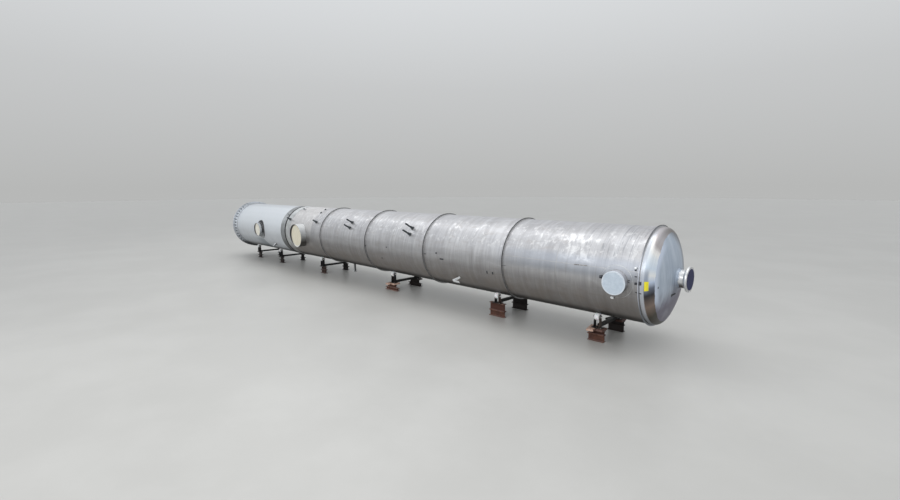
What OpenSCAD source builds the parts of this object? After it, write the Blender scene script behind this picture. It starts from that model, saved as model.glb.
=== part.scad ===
// Horizontal distillation column on roller stands.
// +X runs along the column from the base ring to the top head, +Z is up.
// The origin is the centre of the anchor bolt circle on the base ring's bearing face.

/* [Shell] */
// Outer radius of the skirt and of the shell courses
shell_r = 1250; // [1100:10:1400]
// Wall thickness of the skirt and of the shell courses
shell_t = 14; // [10:1:20]
// Height of the skirt, from the bearing face to the joint with the shell
skirt_len = 6650; // [6000:50:7500]
// Distance between the lower stiffening rings
ring_pitch = 3475; // [3300:25:3700]
// Distance between the last two stiffening rings
top_pitch = 4025; // [3800:25:4300]
// Radial height of a stiffening ring
ring_h = 45; // [40:5:80]
// Thickness of a stiffening ring
ring_t = 16; // [10:2:24]

/* [Collars] */
// Width of each collar band beside the skirt joint
collar_w = 450; // [300:25:500]
// Width of the groove between the collar bands, over the skirt joint
groove_w = 80; // [40:5:100]
// Plate thickness of the collar bands
collar_t = 12; // [8:1:20]

/* [Heads] */
// Outer crown radius of the dished heads
crown_r = 2500; // [2300:50:2800]
// Outer knuckle radius of the dished heads
knuckle_r = 150; // [130:10:250]
// Wall thickness of the heads
head_t = 16; // [12:1:20]
// Length of the straight flange of a head
flange_len = 40; // [30:5:50]
// Distance from the last stiffening ring to the top head's tangent line
ring_to_head = 60; // [55:5:120]

/* [Base ring] */
// Width of the base ring outside the skirt
base_out = 120; // [95:5:200]
// Width of the base ring inside the skirt
base_in = 70; // [40:5:100]
// Thickness of the base ring
base_t = 40; // [30:5:60]
// Thickness of the compression ring over the chairs
top_ring_t = 30; // [20:5:40]
// Clear height of the anchor chairs
chair_h = 300; // [150:10:400]
// Number of anchor bolts
bolt_n = 24; // [12:4:28]
// Radius of an anchor bolt hole
bolt_hole_r = 24; // [16:1:28]
// Thickness of a chair gusset
gusset_t = 20; // [10:2:30]

/* [Skirt access opening] */
// Distance of the opening from the bearing face
access_x = 3670; // [3000:10:4000]
// Outer radius of its neck
access_r = 365; // [250:5:420]
// Reach of its neck outside the skirt
access_out = 200; // [160:5:300]
// Radius of its pad
access_pad_r = 490; // [470:10:560]

/* [Side nozzle] */
// Distance of the large side nozzle above the skirt joint
side_up = 1613; // [1300:10:1800]
// Outer radius of the side nozzle's neck
side_r = 555; // [450:5:560]
// Reach of the side nozzle outside the shell
side_out = 275; // [160:5:400]

/* [Manway] */
// Distance of the manway below the last stiffening ring
manway_down = 537; // [480:10:900]
// Outer radius of the manway neck
manway_r = 290; // [230:5:340]
// Reach of the manway neck outside the shell
manway_out = 162; // [120:2:300]
// Radius of the manway's pad
manway_pad_r = 400; // [380:5:450]

/* [Necks and covers] */
// Wall thickness of the large necks
neck_t = 12; // [8:1:20]
// Plate thickness of the pads
pad_t = 14; // [8:1:20]
// Thickness of the board and plate covers
cover_t = 18; // [6:1:30]
// Depth of the boards inside the mouths of their necks
board_depth = 60; // [30:5:90]
// Azimuth of the large openings, above the horizontal
side_az = -2.2; // [-6:0.1:6]

/* [Vapour nozzle] */
// Outer radius of the vapour nozzle's neck
vapour_r = 228.5; // [200:0.5:240]
// Distance from the head's tangent line to the flange's back face
vapour_out = 650; // [600:10:800]
// Outer radius of the vapour flange
vapour_flange_r = 317.5; // [310:0.5:340]
// Thickness of the vapour flange
vapour_flange_t = 40; // [30:1:60]
// Pitch circle radius of the vapour flange's bolt holes
vapour_pcr = 289; // [285:0.5:292]
// Number of bolt holes in the vapour flange
vapour_bolt_n = 16; // [8:4:20]
// Radius of a bolt hole in the vapour flange
vapour_hole_r = 16; // [10:1:16]

/* [Bottom outlet] */
// Outer radius of the bottom outlet's neck
outlet_r = 136.5; // [100:0.5:160]
// Length of the bottom outlet below the head
outlet_len = 150; // [120:10:200]

/* [Small nozzles] */
// Outer radius of the small necks
stub_r = 33; // [20:1:40]
// Outer radius of their tapered roots
stub_root_r = 66; // [45:1:75]
// Length of the tapered roots
stub_root_len = 150; // [80:5:180]
// Length of the first pair of nozzles outside the shell
pair_len = 330; // [240:5:400]
// Length by which the second pair is longer than the first
pair_more = 60; // [0:5:80]
// Azimuth in which the nozzles of a pair point, parallel to each other
pair_dir = 29.5; // [26:0.5:34]
// Distance of the first pair above the first stiffening ring
pair_up = 2255; // [2000:5:2500]
// Distance between the two pairs
pair_pitch = 3870; // [3700:5:4000]
// Azimuth of the upper nozzle's root in a pair
pair_az_high = 37.4; // [35:0.2:44]
// Azimuth of the lower nozzle's root in a pair
pair_az_low = 25.7; // [20:0.1:28]
// Length of the single nozzles
single_len = 225; // [190:5:300]
// Distance of the single nozzle below the first stiffening ring
single_down = 590; // [400:5:900]
// Azimuth of the single nozzle
single_az = 30.6; // [25:0.2:45]
// Distance of the nozzle in the collar above the skirt joint
collar_up = 330; // [200:5:380]
// Distance of the skirt's own small nozzle below the skirt joint
vent_down = 1690; // [1500:10:1800]
// Azimuth of the skirt's own small nozzle
vent_az = -38; // [-44:1:-34]

/* [Drain] */
// Outer radius of the drain's neck
drain_r = 55; // [30:1:60]
// Length of the drain below the shell
drain_len = 400; // [200:10:420]
// Outer radius of the drain's flange
drain_flange_r = 100; // [80:1:120]
// Distance of the drain above the first stiffening ring
drain_up = 815; // [600:5:1200]

/* [Stands] */
// Height of the roller shafts above the floor
shaft_up = 673; // [665:1:720]
// Distance of the first stand above the bearing face
stand_1_up = 1850; // [1000:10:2600]
// Distance of the second stand below the skirt joint
stand_2_down = 1970; // [1500:10:2200]
// Distance of the third stand below the first stiffening ring
stand_3_down = 1025; // [700:5:1300]
// Distance of the fourth stand above the second stiffening ring
stand_4_up = 1000; // [700:5:1500]
// Distance of the fifth stand below the fourth stiffening ring
stand_5_down = 650; // [400:5:1200]
// Distance of the sixth stand below the last stiffening ring
stand_6_down = 1275; // [900:5:1900]
// Distance of the rollers and beams from the centre line
stand_y = 610; // [560:5:660]
// Height of the beams in the lower stacks, with any timbers on them
low_stack_h = 315; // [280:5:340]
// Height of the beams in the fifth stack
high_stack_h = 435; // [400:5:450]
// Height of the beams and timbers in the last stack
last_stack_h = 365; // [330:5:400]
// Width of the beams
beam_w = 150; // [100:5:200]
// Thickness of the timbers on the fourth and the last stand
timber_t = 55; // [40:5:70]
// Web thickness of the beams
web_t = 9; // [6:1:14]
// Flange thickness of the beams
beam_flange_t = 14; // [8:1:20]

/* [Rollers] */
// Outer radius of a roller
roller_r = 97.5; // [80:0.5:110]
// Width of a roller
roller_w = 125; // [100:5:150]
// Radius of a roller shaft
shaft_r = 25; // [18:1:32]
// Running clearance between shaft and roller, on the radius
shaft_fit = 0.05; // [0.02:0.01:0.1]
// Gap between a roller and its side plates
roller_gap = 6; // [5:0.5:10]
// Thickness of the cradle's side plates
cheek_t = 16; // [10:1:24]
// Height of the tie bar between the cradles of a stand
tie_h = 80; // [50:5:90]

/* [Hidden] */
$fn = 96;
// Facets on the circles that are as large as the shell
shell_fn = 360;
// Clearance between curved faces that sit on each other
seat = 0.3;
ring_1 = skirt_len + ring_pitch;
ring_2 = ring_1 + ring_pitch;
ring_3 = ring_2 + ring_pitch;
ring_4 = ring_3 + ring_pitch;
ring_5 = ring_4 + top_pitch;
rings = [ring_1, ring_2, ring_3, ring_4, ring_5];
// Gap along the axis between the skirt's end and the bottom head's knuckle
joint_gap = 0.6;
inner_r = shell_r - shell_t;
bore_r = shell_r + seat;
// The skirt ends where the bottom head's knuckle has curved in by one wall.
knuckle_drop = sqrt(pow(knuckle_r, 2) - pow(knuckle_r - shell_t, 2));
bottom_tangent = skirt_len + joint_gap + knuckle_drop;
bottom_seam = bottom_tangent + flange_len;
top_tangent = ring_5 + ring_to_head;
top_seam = top_tangent - flange_len;
crown_drop = sqrt(pow(crown_r - knuckle_r, 2) - pow(shell_r - knuckle_r, 2));
head_depth = crown_r - crown_drop;
access_reach = shell_r + access_out;
side_x = skirt_len + side_up;
side_reach = shell_r + side_out;
manway_x = ring_5 - manway_down;
manway_reach = shell_r + manway_out;
collar_r = bore_r + collar_t;
pair_x = ring_1 + pair_up;
collar_nozzle_x = skirt_len + collar_up;
vent_x = skirt_len - vent_down;
// Place, azimuth of the root and of the axis, length, and the radius that the root sits on
small_nozzles_at = [
    [vent_x, vent_az, vent_az, single_len, bore_r],
    [collar_nozzle_x, single_az, single_az, single_len, collar_r + seat],
    [ring_1 - single_down, single_az, single_az, single_len, bore_r],
    [pair_x, pair_az_high, pair_dir, pair_len, bore_r],
    [pair_x, pair_az_low, pair_dir, pair_len, bore_r],
    [pair_x + pair_pitch, pair_az_high, pair_dir, pair_len + pair_more, bore_r],
    [pair_x + pair_pitch, pair_az_low, pair_dir, pair_len + pair_more, bore_r]
];
stub_wall = 6;
root_sink = 2;
drain_az = -90;
drain_x = ring_1 + drain_up;
drain_wall = 6;
drain_flange_t = 20;
base_r = shell_r + base_out;
chair_top = base_t + chair_h;
gusset_gap = 4;
bolt_circle_r = shell_r + base_out / 2;
vapour_back = top_tangent + vapour_out;
vapour_face = vapour_back + vapour_flange_t;
raised_t = 2;
face_margin = 6;
raised_r = vapour_pcr - vapour_hole_r - face_margin;
hub_len = 60;
hub_grow = 22;
cap_t = 6;
cap_margin = 3;
outlet_face = bottom_tangent - head_depth - outlet_len;
outlet_flange_grow = 66;
outlet_flange_t = 30;
outlet_hole_r = 13;
outlet_hole_n = 12;
outlet_pcr_grow = 44;
through = 2 * shell_r;
neck_root = 60;
stands = [
    stand_1_up, skirt_len - stand_2_down, ring_1 - stand_3_down,
    ring_2 + stand_4_up, ring_4 - stand_5_down, ring_5 - stand_6_down
];
last = len(stands) - 1;
// Height of each stack, and the height of its lower beam
stack_hs = [low_stack_h, low_stack_h, low_stack_h, low_stack_h, high_stack_h, last_stack_h];
lower_hs = [155, 155, 165, 110, 190, 190];
// How far the lower and the upper beam of each stand lie off its rollers along the column
lower_shift = [100, 100, 100, -100, 0, -20];
upper_shift = [100, 100, 100, -120, 0, -20];
// Lengths of the lower and of the upper beam of each stand
lower_lens = [440, 440, 440, 750, 590, 460];
upper_lens = [400, 340, 420, 560, 590, 460];
// The stands that have timbers on their beams
timbered = [3, last];
roller_reach = shell_r + seat + roller_r;
roller_z = -sqrt(pow(roller_reach, 2) - pow(stand_y, 2));
floor_z = roller_z - shaft_up;
cheek_x = roller_w / 2 + roller_gap;
cheek_head_r = 50;
cheek_foot = 140;
hub_wall = 16;
hub_out = 3;
roller_edge = 6;
cradle_len = 300;
cradle_w = 190;
cradle_t = 16;
shaft_out = 30;
tie_w = 100;
tie_t = 8;
tie_seat = 1;
// Offset along and across the column, length, width and turn of the two timbers of a stack
timber_set = [[-130, 30, 480, 200, 11], [112, 0, 300, 190, 0]];
lug_t = 20;
lug_grow = 25;
eye_r = 45;
eye_up = 60;
eye_hole_r = 18;
collar_lug_down = 160;
collar_lug_az = 42.5;
top_lug_up = 750;
top_lug_az = 65;
top_lug_grow = 110;
clip_len = 120;
clip_h = 30;

// Carries a shape's +Z axis over to the column's axis, with its foot at x.
module along(x) {
    translate([x, 0, 0]) rotate([0, 90, 0]) children();
}

// Points a shape's +Z axis straight out of the shell at x, az degrees above the near side.
module outward(x, az) {
    translate([x, 0, 0]) rotate([90 - az, 0, 0]) children();
}

// A pipe of outer radius r; a wide one takes the shell's facets.
module tube(r, wall, len) {
    facets = r > shell_r / 2 ? shell_fn : $fn;
    difference() {
        cylinder(r = r, h = len, $fn = facets);
        translate([0, 0, -1]) cylinder(r = r - wall, h = len + 2, $fn = facets);
    }
}

// A length of the column's wall from one place on the axis to another.
module wall(from, to) {
    along(from) tube(shell_r, shell_t, to - from);
}

// A radial hole for a neck of radius r, with its clearance.
module neck_hole(x, az, r) {
    outward(x, az) cylinder(r = r + seat, h = through);
}

// A band around the shell, t thick.
module band(from, len, t) {
    along(from) tube(shell_r + seat + t, t, len);
}

// Half the outline of a dished head: spherical crown, toroidal knuckle, straight flange.
module dish_outline(r, crown, knuckle, straight) {
    drop = sqrt(pow(crown - knuckle, 2) - pow(r - knuckle, 2));
    far = crown;
    union() {
        intersection() {
            translate([0, -drop]) circle(r = crown, $fn = 360);
            polygon([
                [0, 0], [r - knuckle, 0],
                [(r - knuckle) * (1 + far / drop), far], [0, far]
            ]);
        }
        intersection() {
            translate([r - knuckle, 0]) circle(r = knuckle, $fn = 180);
            translate([r - knuckle, 0]) square([knuckle, knuckle]);
        }
        translate([0, -straight]) square([r, straight]);
    }
}

// A dished head with its tangent line at z = 0 and its crown upwards.
module dished_head(hole_r) {
    rotate_extrude($fn = 180) difference() {
        dish_outline(shell_r, crown_r, knuckle_r, flange_len);
        translate([0, -1])
            dish_outline(shell_r - head_t, crown_r - head_t, knuckle_r - head_t, flange_len);
        dish_outline(shell_r - head_t, crown_r - head_t, knuckle_r - head_t, flange_len);
        translate([0, -flange_len - 1]) square([hole_r, crown_r]);
    }
}

// Puts a shape on an axis that points in the azimuth dir and meets the shell at the azimuth az.
module aside(x, az, dir) {
    outward(x, dir) translate([0, shell_r * sin(az - dir), 0]) children();
}

// The holes of all the small nozzles.
module small_holes() {
    for (p = small_nozzles_at)
        aside(p[0], p[1], p[2]) cylinder(r = stub_r + seat, h = through);
}

// A pad of radius r rolled to the shell around a neck of radius hole_r.
module pad(x, az, r, hole_r) {
    intersection() {
        band(x - r - 1, 2 * r + 2, pad_t);
        outward(x, az) difference() {
            cylinder(r = r, h = through);
            translate([0, 0, -1]) cylinder(r = hole_r + seat, h = through + 2);
        }
    }
}

// A plain neck of radius r that ends at reach and starts just inside the wall.
module neck(x, az, r, reach) {
    root = sqrt(pow(inner_r, 2) - pow(r, 2));
    outward(x, az) translate([0, 0, root]) tube(r, neck_t, reach - root);
}

// A round plate with its back face at z = 0 and a circle of holes.
module drilled_plate(r, t, pcr, n, hole) {
    difference() {
        cylinder(r = r, h = t);
        for (i = [0:n - 1])
            rotate([0, 0, (i + 0.5) * 360 / n]) translate([pcr, 0, -1])
                cylinder(r = hole, h = t + 2, $fn = 32);
    }
}

// The same plate with a bore.
module drilled_flange(r, t, bore, pcr, n, hole) {
    difference() {
        drilled_plate(r, t, pcr, n, hole);
        translate([0, 0, -1]) cylinder(r = bore, h = t + 2);
    }
}

module base_ring() {
    color("slategray") along(0)
        drilled_flange(base_r, base_t, inner_r - base_in, bolt_circle_r, bolt_n, bolt_hole_r);
}

module compression_ring() {
    color("slategray") along(chair_top)
        drilled_flange(base_r, top_ring_t, bore_r, bolt_circle_r, bolt_n, bolt_hole_r);
}

// Two upright plates stand beside each bolt, evenly spaced round the skirt.
module chair_gussets() {
    step = 180 / bolt_n;
    color("slategray") along(base_t)
        for (i = [0:2 * bolt_n - 1])
            rotate([0, 0, (i + 0.5) * step]) translate([bore_r, -gusset_t / 2, 0])
                cube([base_r - bore_r - gusset_gap, gusset_t, chair_h]);
}

module skirt() {
    color("lightsteelblue") difference() {
        wall(base_t, skirt_len);
        neck_hole(access_x, side_az, access_r);
        small_holes();
    }
}

module access_neck() {
    color("lightsteelblue") neck(access_x, side_az, access_r, access_reach);
}

module access_pad() {
    color("lightsteelblue") pad(access_x, side_az, access_pad_r, access_r);
}

// A round board pushed into the mouth of a neck.
module board(x, az, r, reach) {
    outward(x, az) translate([0, 0, reach - board_depth])
        cylinder(r = r - neck_t - seat, h = cover_t);
}

module access_board() {
    color("wheat") board(access_x, side_az, access_r, access_reach);
}

module skirt_collar() {
    color("gainsboro") band(skirt_len - groove_w / 2 - collar_w, collar_w, collar_t);
}

module shell_collar() {
    color("gainsboro") difference() {
        band(skirt_len + groove_w / 2, collar_w, collar_t);
        small_holes();
    }
}

module bottom_head() {
    color("silver") along(bottom_tangent) mirror([0, 0, 1]) dished_head(outlet_r + seat);
}

module bottom_outlet() {
    color("silver") along(outlet_face) {
        drilled_flange(
            outlet_r + outlet_flange_grow, outlet_flange_t, outlet_r - neck_t,
            outlet_r + outlet_pcr_grow, outlet_hole_n, outlet_hole_r
        );
        tube(outlet_r, neck_t, outlet_len + neck_root);
    }
}

module course_1() {
    color("silver") difference() {
        wall(bottom_seam, ring_1);
        neck_hole(side_x, side_az, side_r);
        small_holes();
    }
}

module course_2() {
    color("silver") difference() {
        wall(ring_1, ring_2);
        small_holes();
        neck_hole(drain_x, drain_az, drain_r);
    }
}

module course_3() {
    color("silver") difference() {
        wall(ring_2, ring_3);
        small_holes();
    }
}

module course_4() {
    color("silver") wall(ring_3, ring_4);
}

module course_5() {
    color("silver") difference() {
        wall(ring_4, top_seam);
        neck_hole(manway_x, side_az, manway_r);
    }
}

module stiffening_rings() {
    color("darkgray")
        for (x = rings)
            band(x - ring_t / 2, ring_t, ring_h);
}

module side_nozzle() {
    color("silver") neck(side_x, side_az, side_r, side_reach);
}

module side_board() {
    color("wheat") board(side_x, side_az, side_r, side_reach);
}

module manway_neck() {
    color("silver") neck(manway_x, side_az, manway_r, manway_reach);
}

module manway_pad() {
    color("silver") pad(manway_x, side_az, manway_pad_r, manway_r);
}

module manway_cover() {
    color("aliceblue") outward(manway_x, side_az)
        translate([0, 0, manway_reach + seat]) cylinder(r = manway_r, h = cover_t);
}

// A small neck with a tapered root that is cut to the radius sit.
module stub(x, az, dir, len, sit) {
    away = abs(shell_r * sin(az - dir));
    top = shell_r * cos(az - dir) + len;
    start = sqrt(pow(inner_r, 2) - pow(away + stub_r, 2));
    root = sqrt(pow(sit, 2) - pow(away + stub_root_r, 2)) - root_sink;
    root_top = top - len + stub_root_len;
    difference() {
        union() {
            aside(x, az, dir) translate([0, 0, start]) cylinder(r = stub_r, h = top - start);
            difference() {
                aside(x, az, dir) translate([0, 0, root])
                    cylinder(r1 = stub_root_r, r2 = stub_r, h = root_top - root);
                along(x - 2 * stub_root_r)
                    cylinder(r = sit, h = 4 * stub_root_r, $fn = shell_fn);
            }
        }
        aside(x, az, dir) translate([0, 0, start - 1])
            cylinder(r = stub_r - stub_wall, h = top - start + 2);
    }
}

// The small nozzles, with the flanged drain under the second course.
module small_nozzles() {
    drain_start = sqrt(pow(inner_r, 2) - pow(drain_r, 2));
    color("silver") {
        for (p = small_nozzles_at)
            stub(p[0], p[1], p[2], p[3], p[4]);
        outward(drain_x, drain_az) {
            translate([0, 0, drain_start]) tube(drain_r, drain_wall, shell_r + drain_len - drain_start);
            translate([0, 0, shell_r + drain_len - drain_flange_t])
                tube(drain_flange_r, drain_flange_r - drain_r + drain_wall, drain_flange_t);
        }
    }
}

// An upright eye plate on the radius r, in line with the column; its foot is wider by grow a side.
module lug(x, az, r, grow) {
    outward(x, az) translate([0, 0, r]) rotate([90, 0, 0]) translate([0, 0, -lug_t / 2])
        linear_extrude(lug_t) difference() {
            union() {
                translate([-eye_r - grow, 0]) square([2 * (eye_r + grow), eye_up / 2]);
                translate([-eye_r, 0]) square([2 * eye_r, eye_up]);
                translate([0, eye_up]) circle(r = eye_r);
            }
            translate([0, eye_up]) circle(r = eye_hole_r);
        }
}

module lifting_lugs() {
    color("silver") {
        lug(skirt_len - collar_lug_down, collar_lug_az, collar_r + seat, lug_grow);
        lug(skirt_len + top_lug_up, top_lug_az, bore_r, top_lug_grow);
    }
}

// Small flat bars beside three of the rings, along the near side.
module ring_clips() {
    color("darkgray")
        for (x = [ring_2, ring_3, ring_4])
            outward(x + ring_t / 2 + clip_len / 2 + seat, side_az)
                translate([-clip_len / 2, -ring_t / 2, bore_r]) cube([clip_len, ring_t, clip_h]);
}

module top_head() {
    color("silver") along(top_tangent) dished_head(vapour_r + seat);
}

// Neck, tapered hub and raised-face flange on the column's axis.
module vapour_nozzle() {
    start = top_tangent + head_depth - neck_root;
    color("gainsboro") difference() {
        union() {
            along(start) cylinder(r = vapour_r, h = vapour_back - start);
            along(vapour_back - hub_len)
                cylinder(r1 = vapour_r, r2 = vapour_r + hub_grow, h = hub_len);
            along(vapour_back)
                drilled_plate(vapour_flange_r, vapour_flange_t, vapour_pcr, vapour_bolt_n, vapour_hole_r);
            along(vapour_face) cylinder(r = raised_r, h = raised_t);
        }
        along(start - 1) cylinder(r = vapour_r - neck_t, h = vapour_face - start + raised_t + 2);
    }
}

module vapour_cover() {
    color("midnightblue") along(vapour_face + raised_t) cylinder(r = raised_r - cap_margin, h = cap_t);
}

// The outline of a rolled beam, w wide and h high, standing on y = 0.
module beam_outline(w, h) {
    translate([-w / 2, 0]) square([w, beam_flange_t]);
    translate([-w / 2, h - beam_flange_t]) square([w, beam_flange_t]);
    translate([-web_t / 2, 0]) square([web_t, h]);
}

// A beam along X, centred at x, on the level z.
module beam(x, y, z, len, h) {
    translate([x - len / 2, y, z]) rotate([90, 0, 90])
        linear_extrude(len) beam_outline(beam_w, h);
}

function has_timber(i) = len([for (t = timbered) if (t == i) t]) > 0;
function seat_z(i) = floor_z + stack_hs[i];
function beams_h(i) = stack_hs[i] - (has_timber(i) ? timber_t : 0);

module lower_beams() {
    color("saddlebrown")
        for (i = [0:last])
            for (side = [-1, 1])
                beam(
                    stands[i] + lower_shift[i], side * stand_y, floor_z, lower_lens[i], lower_hs[i]
                );
}

module upper_beams() {
    color("saddlebrown")
        for (i = [0:last])
            for (side = [-1, 1])
                beam(
                    stands[i] + upper_shift[i], side * stand_y, floor_z + lower_hs[i],
                    upper_lens[i], beams_h(i) - lower_hs[i]
                );
}

// Two timbers lie across the beams of a stand; the longer one sticks out and is turned.
module timbers() {
    color("peru")
        for (i = timbered)
            for (side = [-1, 1])
                for (t = timber_set)
                    translate([stands[i] + t[0], side * (stand_y + t[1]), seat_z(i) - timber_t])
                        rotate([0, 0, -side * t[4]]) translate([-t[3] / 2, -t[2] / 2, 0])
                            cube([t[3], t[2], timber_t]);
}

// The side plate of a cradle: a foot that tapers to a round head at the shaft.
module cheek(rise) {
    rotate([90, 0, 90]) linear_extrude(cheek_t) difference() {
        union() {
            polygon([
                [-cheek_foot / 2, cradle_t], [cheek_foot / 2, cradle_t],
                [cheek_head_r, rise], [-cheek_head_r, rise]
            ]);
            translate([0, rise]) circle(r = cheek_head_r);
        }
        translate([0, rise]) circle(r = shaft_r + seat);
    }
}

// One cradle: foot plate and two side plates.
module cradle(i, side) {
    translate([stands[i], side * stand_y, seat_z(i)]) {
        translate([-cradle_len / 2, -cradle_w / 2, 0]) cube([cradle_len, cradle_w, cradle_t]);
        translate([cheek_x, 0, 0]) cheek(roller_z - seat_z(i));
        translate([-cheek_x - cheek_t, 0, 0]) cheek(roller_z - seat_z(i));
    }
}

// The two cradles of each stand are joined under the column by a tie bar.
module cradles() {
    color("dimgray")
        for (i = [0:last]) {
            cradle(i, -1);
            cradle(i, 1);
            translate([stands[i] - tie_w / 2, -stand_y + cradle_w / 2 - tie_seat, seat_z(i)])
                difference() {
                    cube([tie_w, 2 * (stand_y + tie_seat) - cradle_w, tie_h]);
                    translate([tie_t, -1, -1])
                        cube([tie_w - 2 * tie_t, 2 * stand_y, tie_h - tie_t + 1]);
                }
        }
}

module roller_shafts() {
    half = cheek_x + cheek_t + shaft_out;
    color("gray")
        for (x = stands)
            for (side = [-1, 1])
                translate([0, side * stand_y, roller_z]) along(x - half)
                    cylinder(r = shaft_r, h = 2 * half);
}

// A roller with chamfered edges and a raised hub, bored to run on its shaft.
module roller(i, side) {
    hub_r = shaft_r + hub_wall;
    half = roller_w / 2;
    fit_r = shaft_r + shaft_fit;
    color("whitesmoke") translate([0, side * stand_y, roller_z]) along(stands[i])
        rotate_extrude() polygon([
            [fit_r, -half - hub_out], [hub_r, -half - hub_out], [hub_r, -half],
            [roller_r - roller_edge, -half], [roller_r, -half + roller_edge],
            [roller_r, half - roller_edge], [roller_r - roller_edge, half],
            [hub_r, half], [hub_r, half + hub_out], [fit_r, half + hub_out]
        ]);
}

base_ring();
compression_ring();
chair_gussets();
skirt();
access_neck();
access_pad();
access_board();
skirt_collar();
shell_collar();
bottom_head();
bottom_outlet();
course_1();
course_2();
course_3();
course_4();
course_5();
stiffening_rings();
side_nozzle();
side_board();
manway_neck();
manway_pad();
manway_cover();
small_nozzles();
lifting_lugs();
ring_clips();
top_head();
vapour_nozzle();
vapour_cover();
lower_beams();
upper_beams();
timbers();
cradles();
roller_shafts();
roller(0, -1);  // roller_1_near
roller(0, 1);  // roller_1_far
roller(1, -1);  // roller_2_near
roller(1, 1);  // roller_2_far
roller(2, -1);  // roller_3_near
roller(2, 1);  // roller_3_far
roller(3, -1);  // roller_4_near
roller(3, 1);  // roller_4_far
roller(4, -1);  // roller_5_near
roller(4, 1);  // roller_5_far
roller(5, -1);  // roller_6_near
roller(5, 1);  // roller_6_far
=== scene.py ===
"""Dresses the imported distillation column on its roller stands.

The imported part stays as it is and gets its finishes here. Weld beads, rolled beams, planks,
films, fasteners and small cleats are added as surfaces worked out with numpy. Lengths are in
metres; +X runs along the column from the base ring to the top head and +Z is up.
"""

import logging
import math
from abc import ABC, abstractmethod
from dataclasses import dataclass, field
from enum import Enum
from typing import Optional, Sequence, Union

import bmesh
import bpy
import numpy as np
from mathutils import Matrix, Vector

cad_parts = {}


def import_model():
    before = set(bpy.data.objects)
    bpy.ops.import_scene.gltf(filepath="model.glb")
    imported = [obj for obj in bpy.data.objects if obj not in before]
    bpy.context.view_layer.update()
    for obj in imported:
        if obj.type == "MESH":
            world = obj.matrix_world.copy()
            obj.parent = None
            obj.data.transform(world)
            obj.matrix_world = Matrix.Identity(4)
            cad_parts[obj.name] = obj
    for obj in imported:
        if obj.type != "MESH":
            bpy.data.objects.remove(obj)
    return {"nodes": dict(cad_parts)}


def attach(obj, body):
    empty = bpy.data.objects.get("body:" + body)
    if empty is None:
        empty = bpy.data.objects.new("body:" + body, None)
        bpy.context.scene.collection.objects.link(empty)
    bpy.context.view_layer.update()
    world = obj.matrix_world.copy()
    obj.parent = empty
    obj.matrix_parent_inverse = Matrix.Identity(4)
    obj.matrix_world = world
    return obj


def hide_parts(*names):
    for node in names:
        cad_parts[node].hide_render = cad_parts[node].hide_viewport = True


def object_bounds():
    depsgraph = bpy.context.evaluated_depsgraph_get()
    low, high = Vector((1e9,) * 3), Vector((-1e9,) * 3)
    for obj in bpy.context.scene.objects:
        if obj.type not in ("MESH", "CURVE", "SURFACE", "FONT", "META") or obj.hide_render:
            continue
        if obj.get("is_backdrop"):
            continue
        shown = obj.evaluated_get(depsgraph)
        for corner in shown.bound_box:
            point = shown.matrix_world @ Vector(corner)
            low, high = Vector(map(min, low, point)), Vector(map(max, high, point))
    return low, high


logging.basicConfig(level=logging.INFO, format="%(name)s: %(message)s")
LOG = logging.getLogger("column")

Array = np.ndarray
Colour = tuple[float, float, float]
Socket = bpy.types.NodeSocket
Material = bpy.types.Material
Value = Union[float, Socket]
Stops = tuple[tuple[float, float], ...]
# Painted shade for the groove between the skirt collar and the shell collar.
GROOVE_SHADE: Colour = (0.015, 0.015, 0.015)


class Slot(Enum):
    """Names of the record's slots for added pieces; the script gives no piece one."""

    SHELL = "stainless_shell"
    HEAD = "polished_head"
    WHITE_COVER = "white_cover"
    BEAM = "rusty_beam"
    TIMBER = "timber"
    CRADLE = "cradle_paint"
    SHAFT = "shaft_steel"


class Side(Enum):
    """The two rows of stands, by the sign of Y."""

    NEAR = -1
    FAR = 1


# Shader writing


def fill_ramp(bar: bpy.types.ColorRamp, stops: Sequence[tuple[float, Colour]]) -> None:
    """Fills a ramp with stops, of which the first lies at 0 and the last at 1.

    Args:
        bar: The ramp.
        stops: Place and colour of each stop.
    """
    bar.elements[0].color = (*stops[0][1], 1.0)
    bar.elements[1].color = (*stops[-1][1], 1.0)
    for place, colour in stops[1:-1]:
        bar.elements.new(place).color = (*colour, 1.0)


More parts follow.
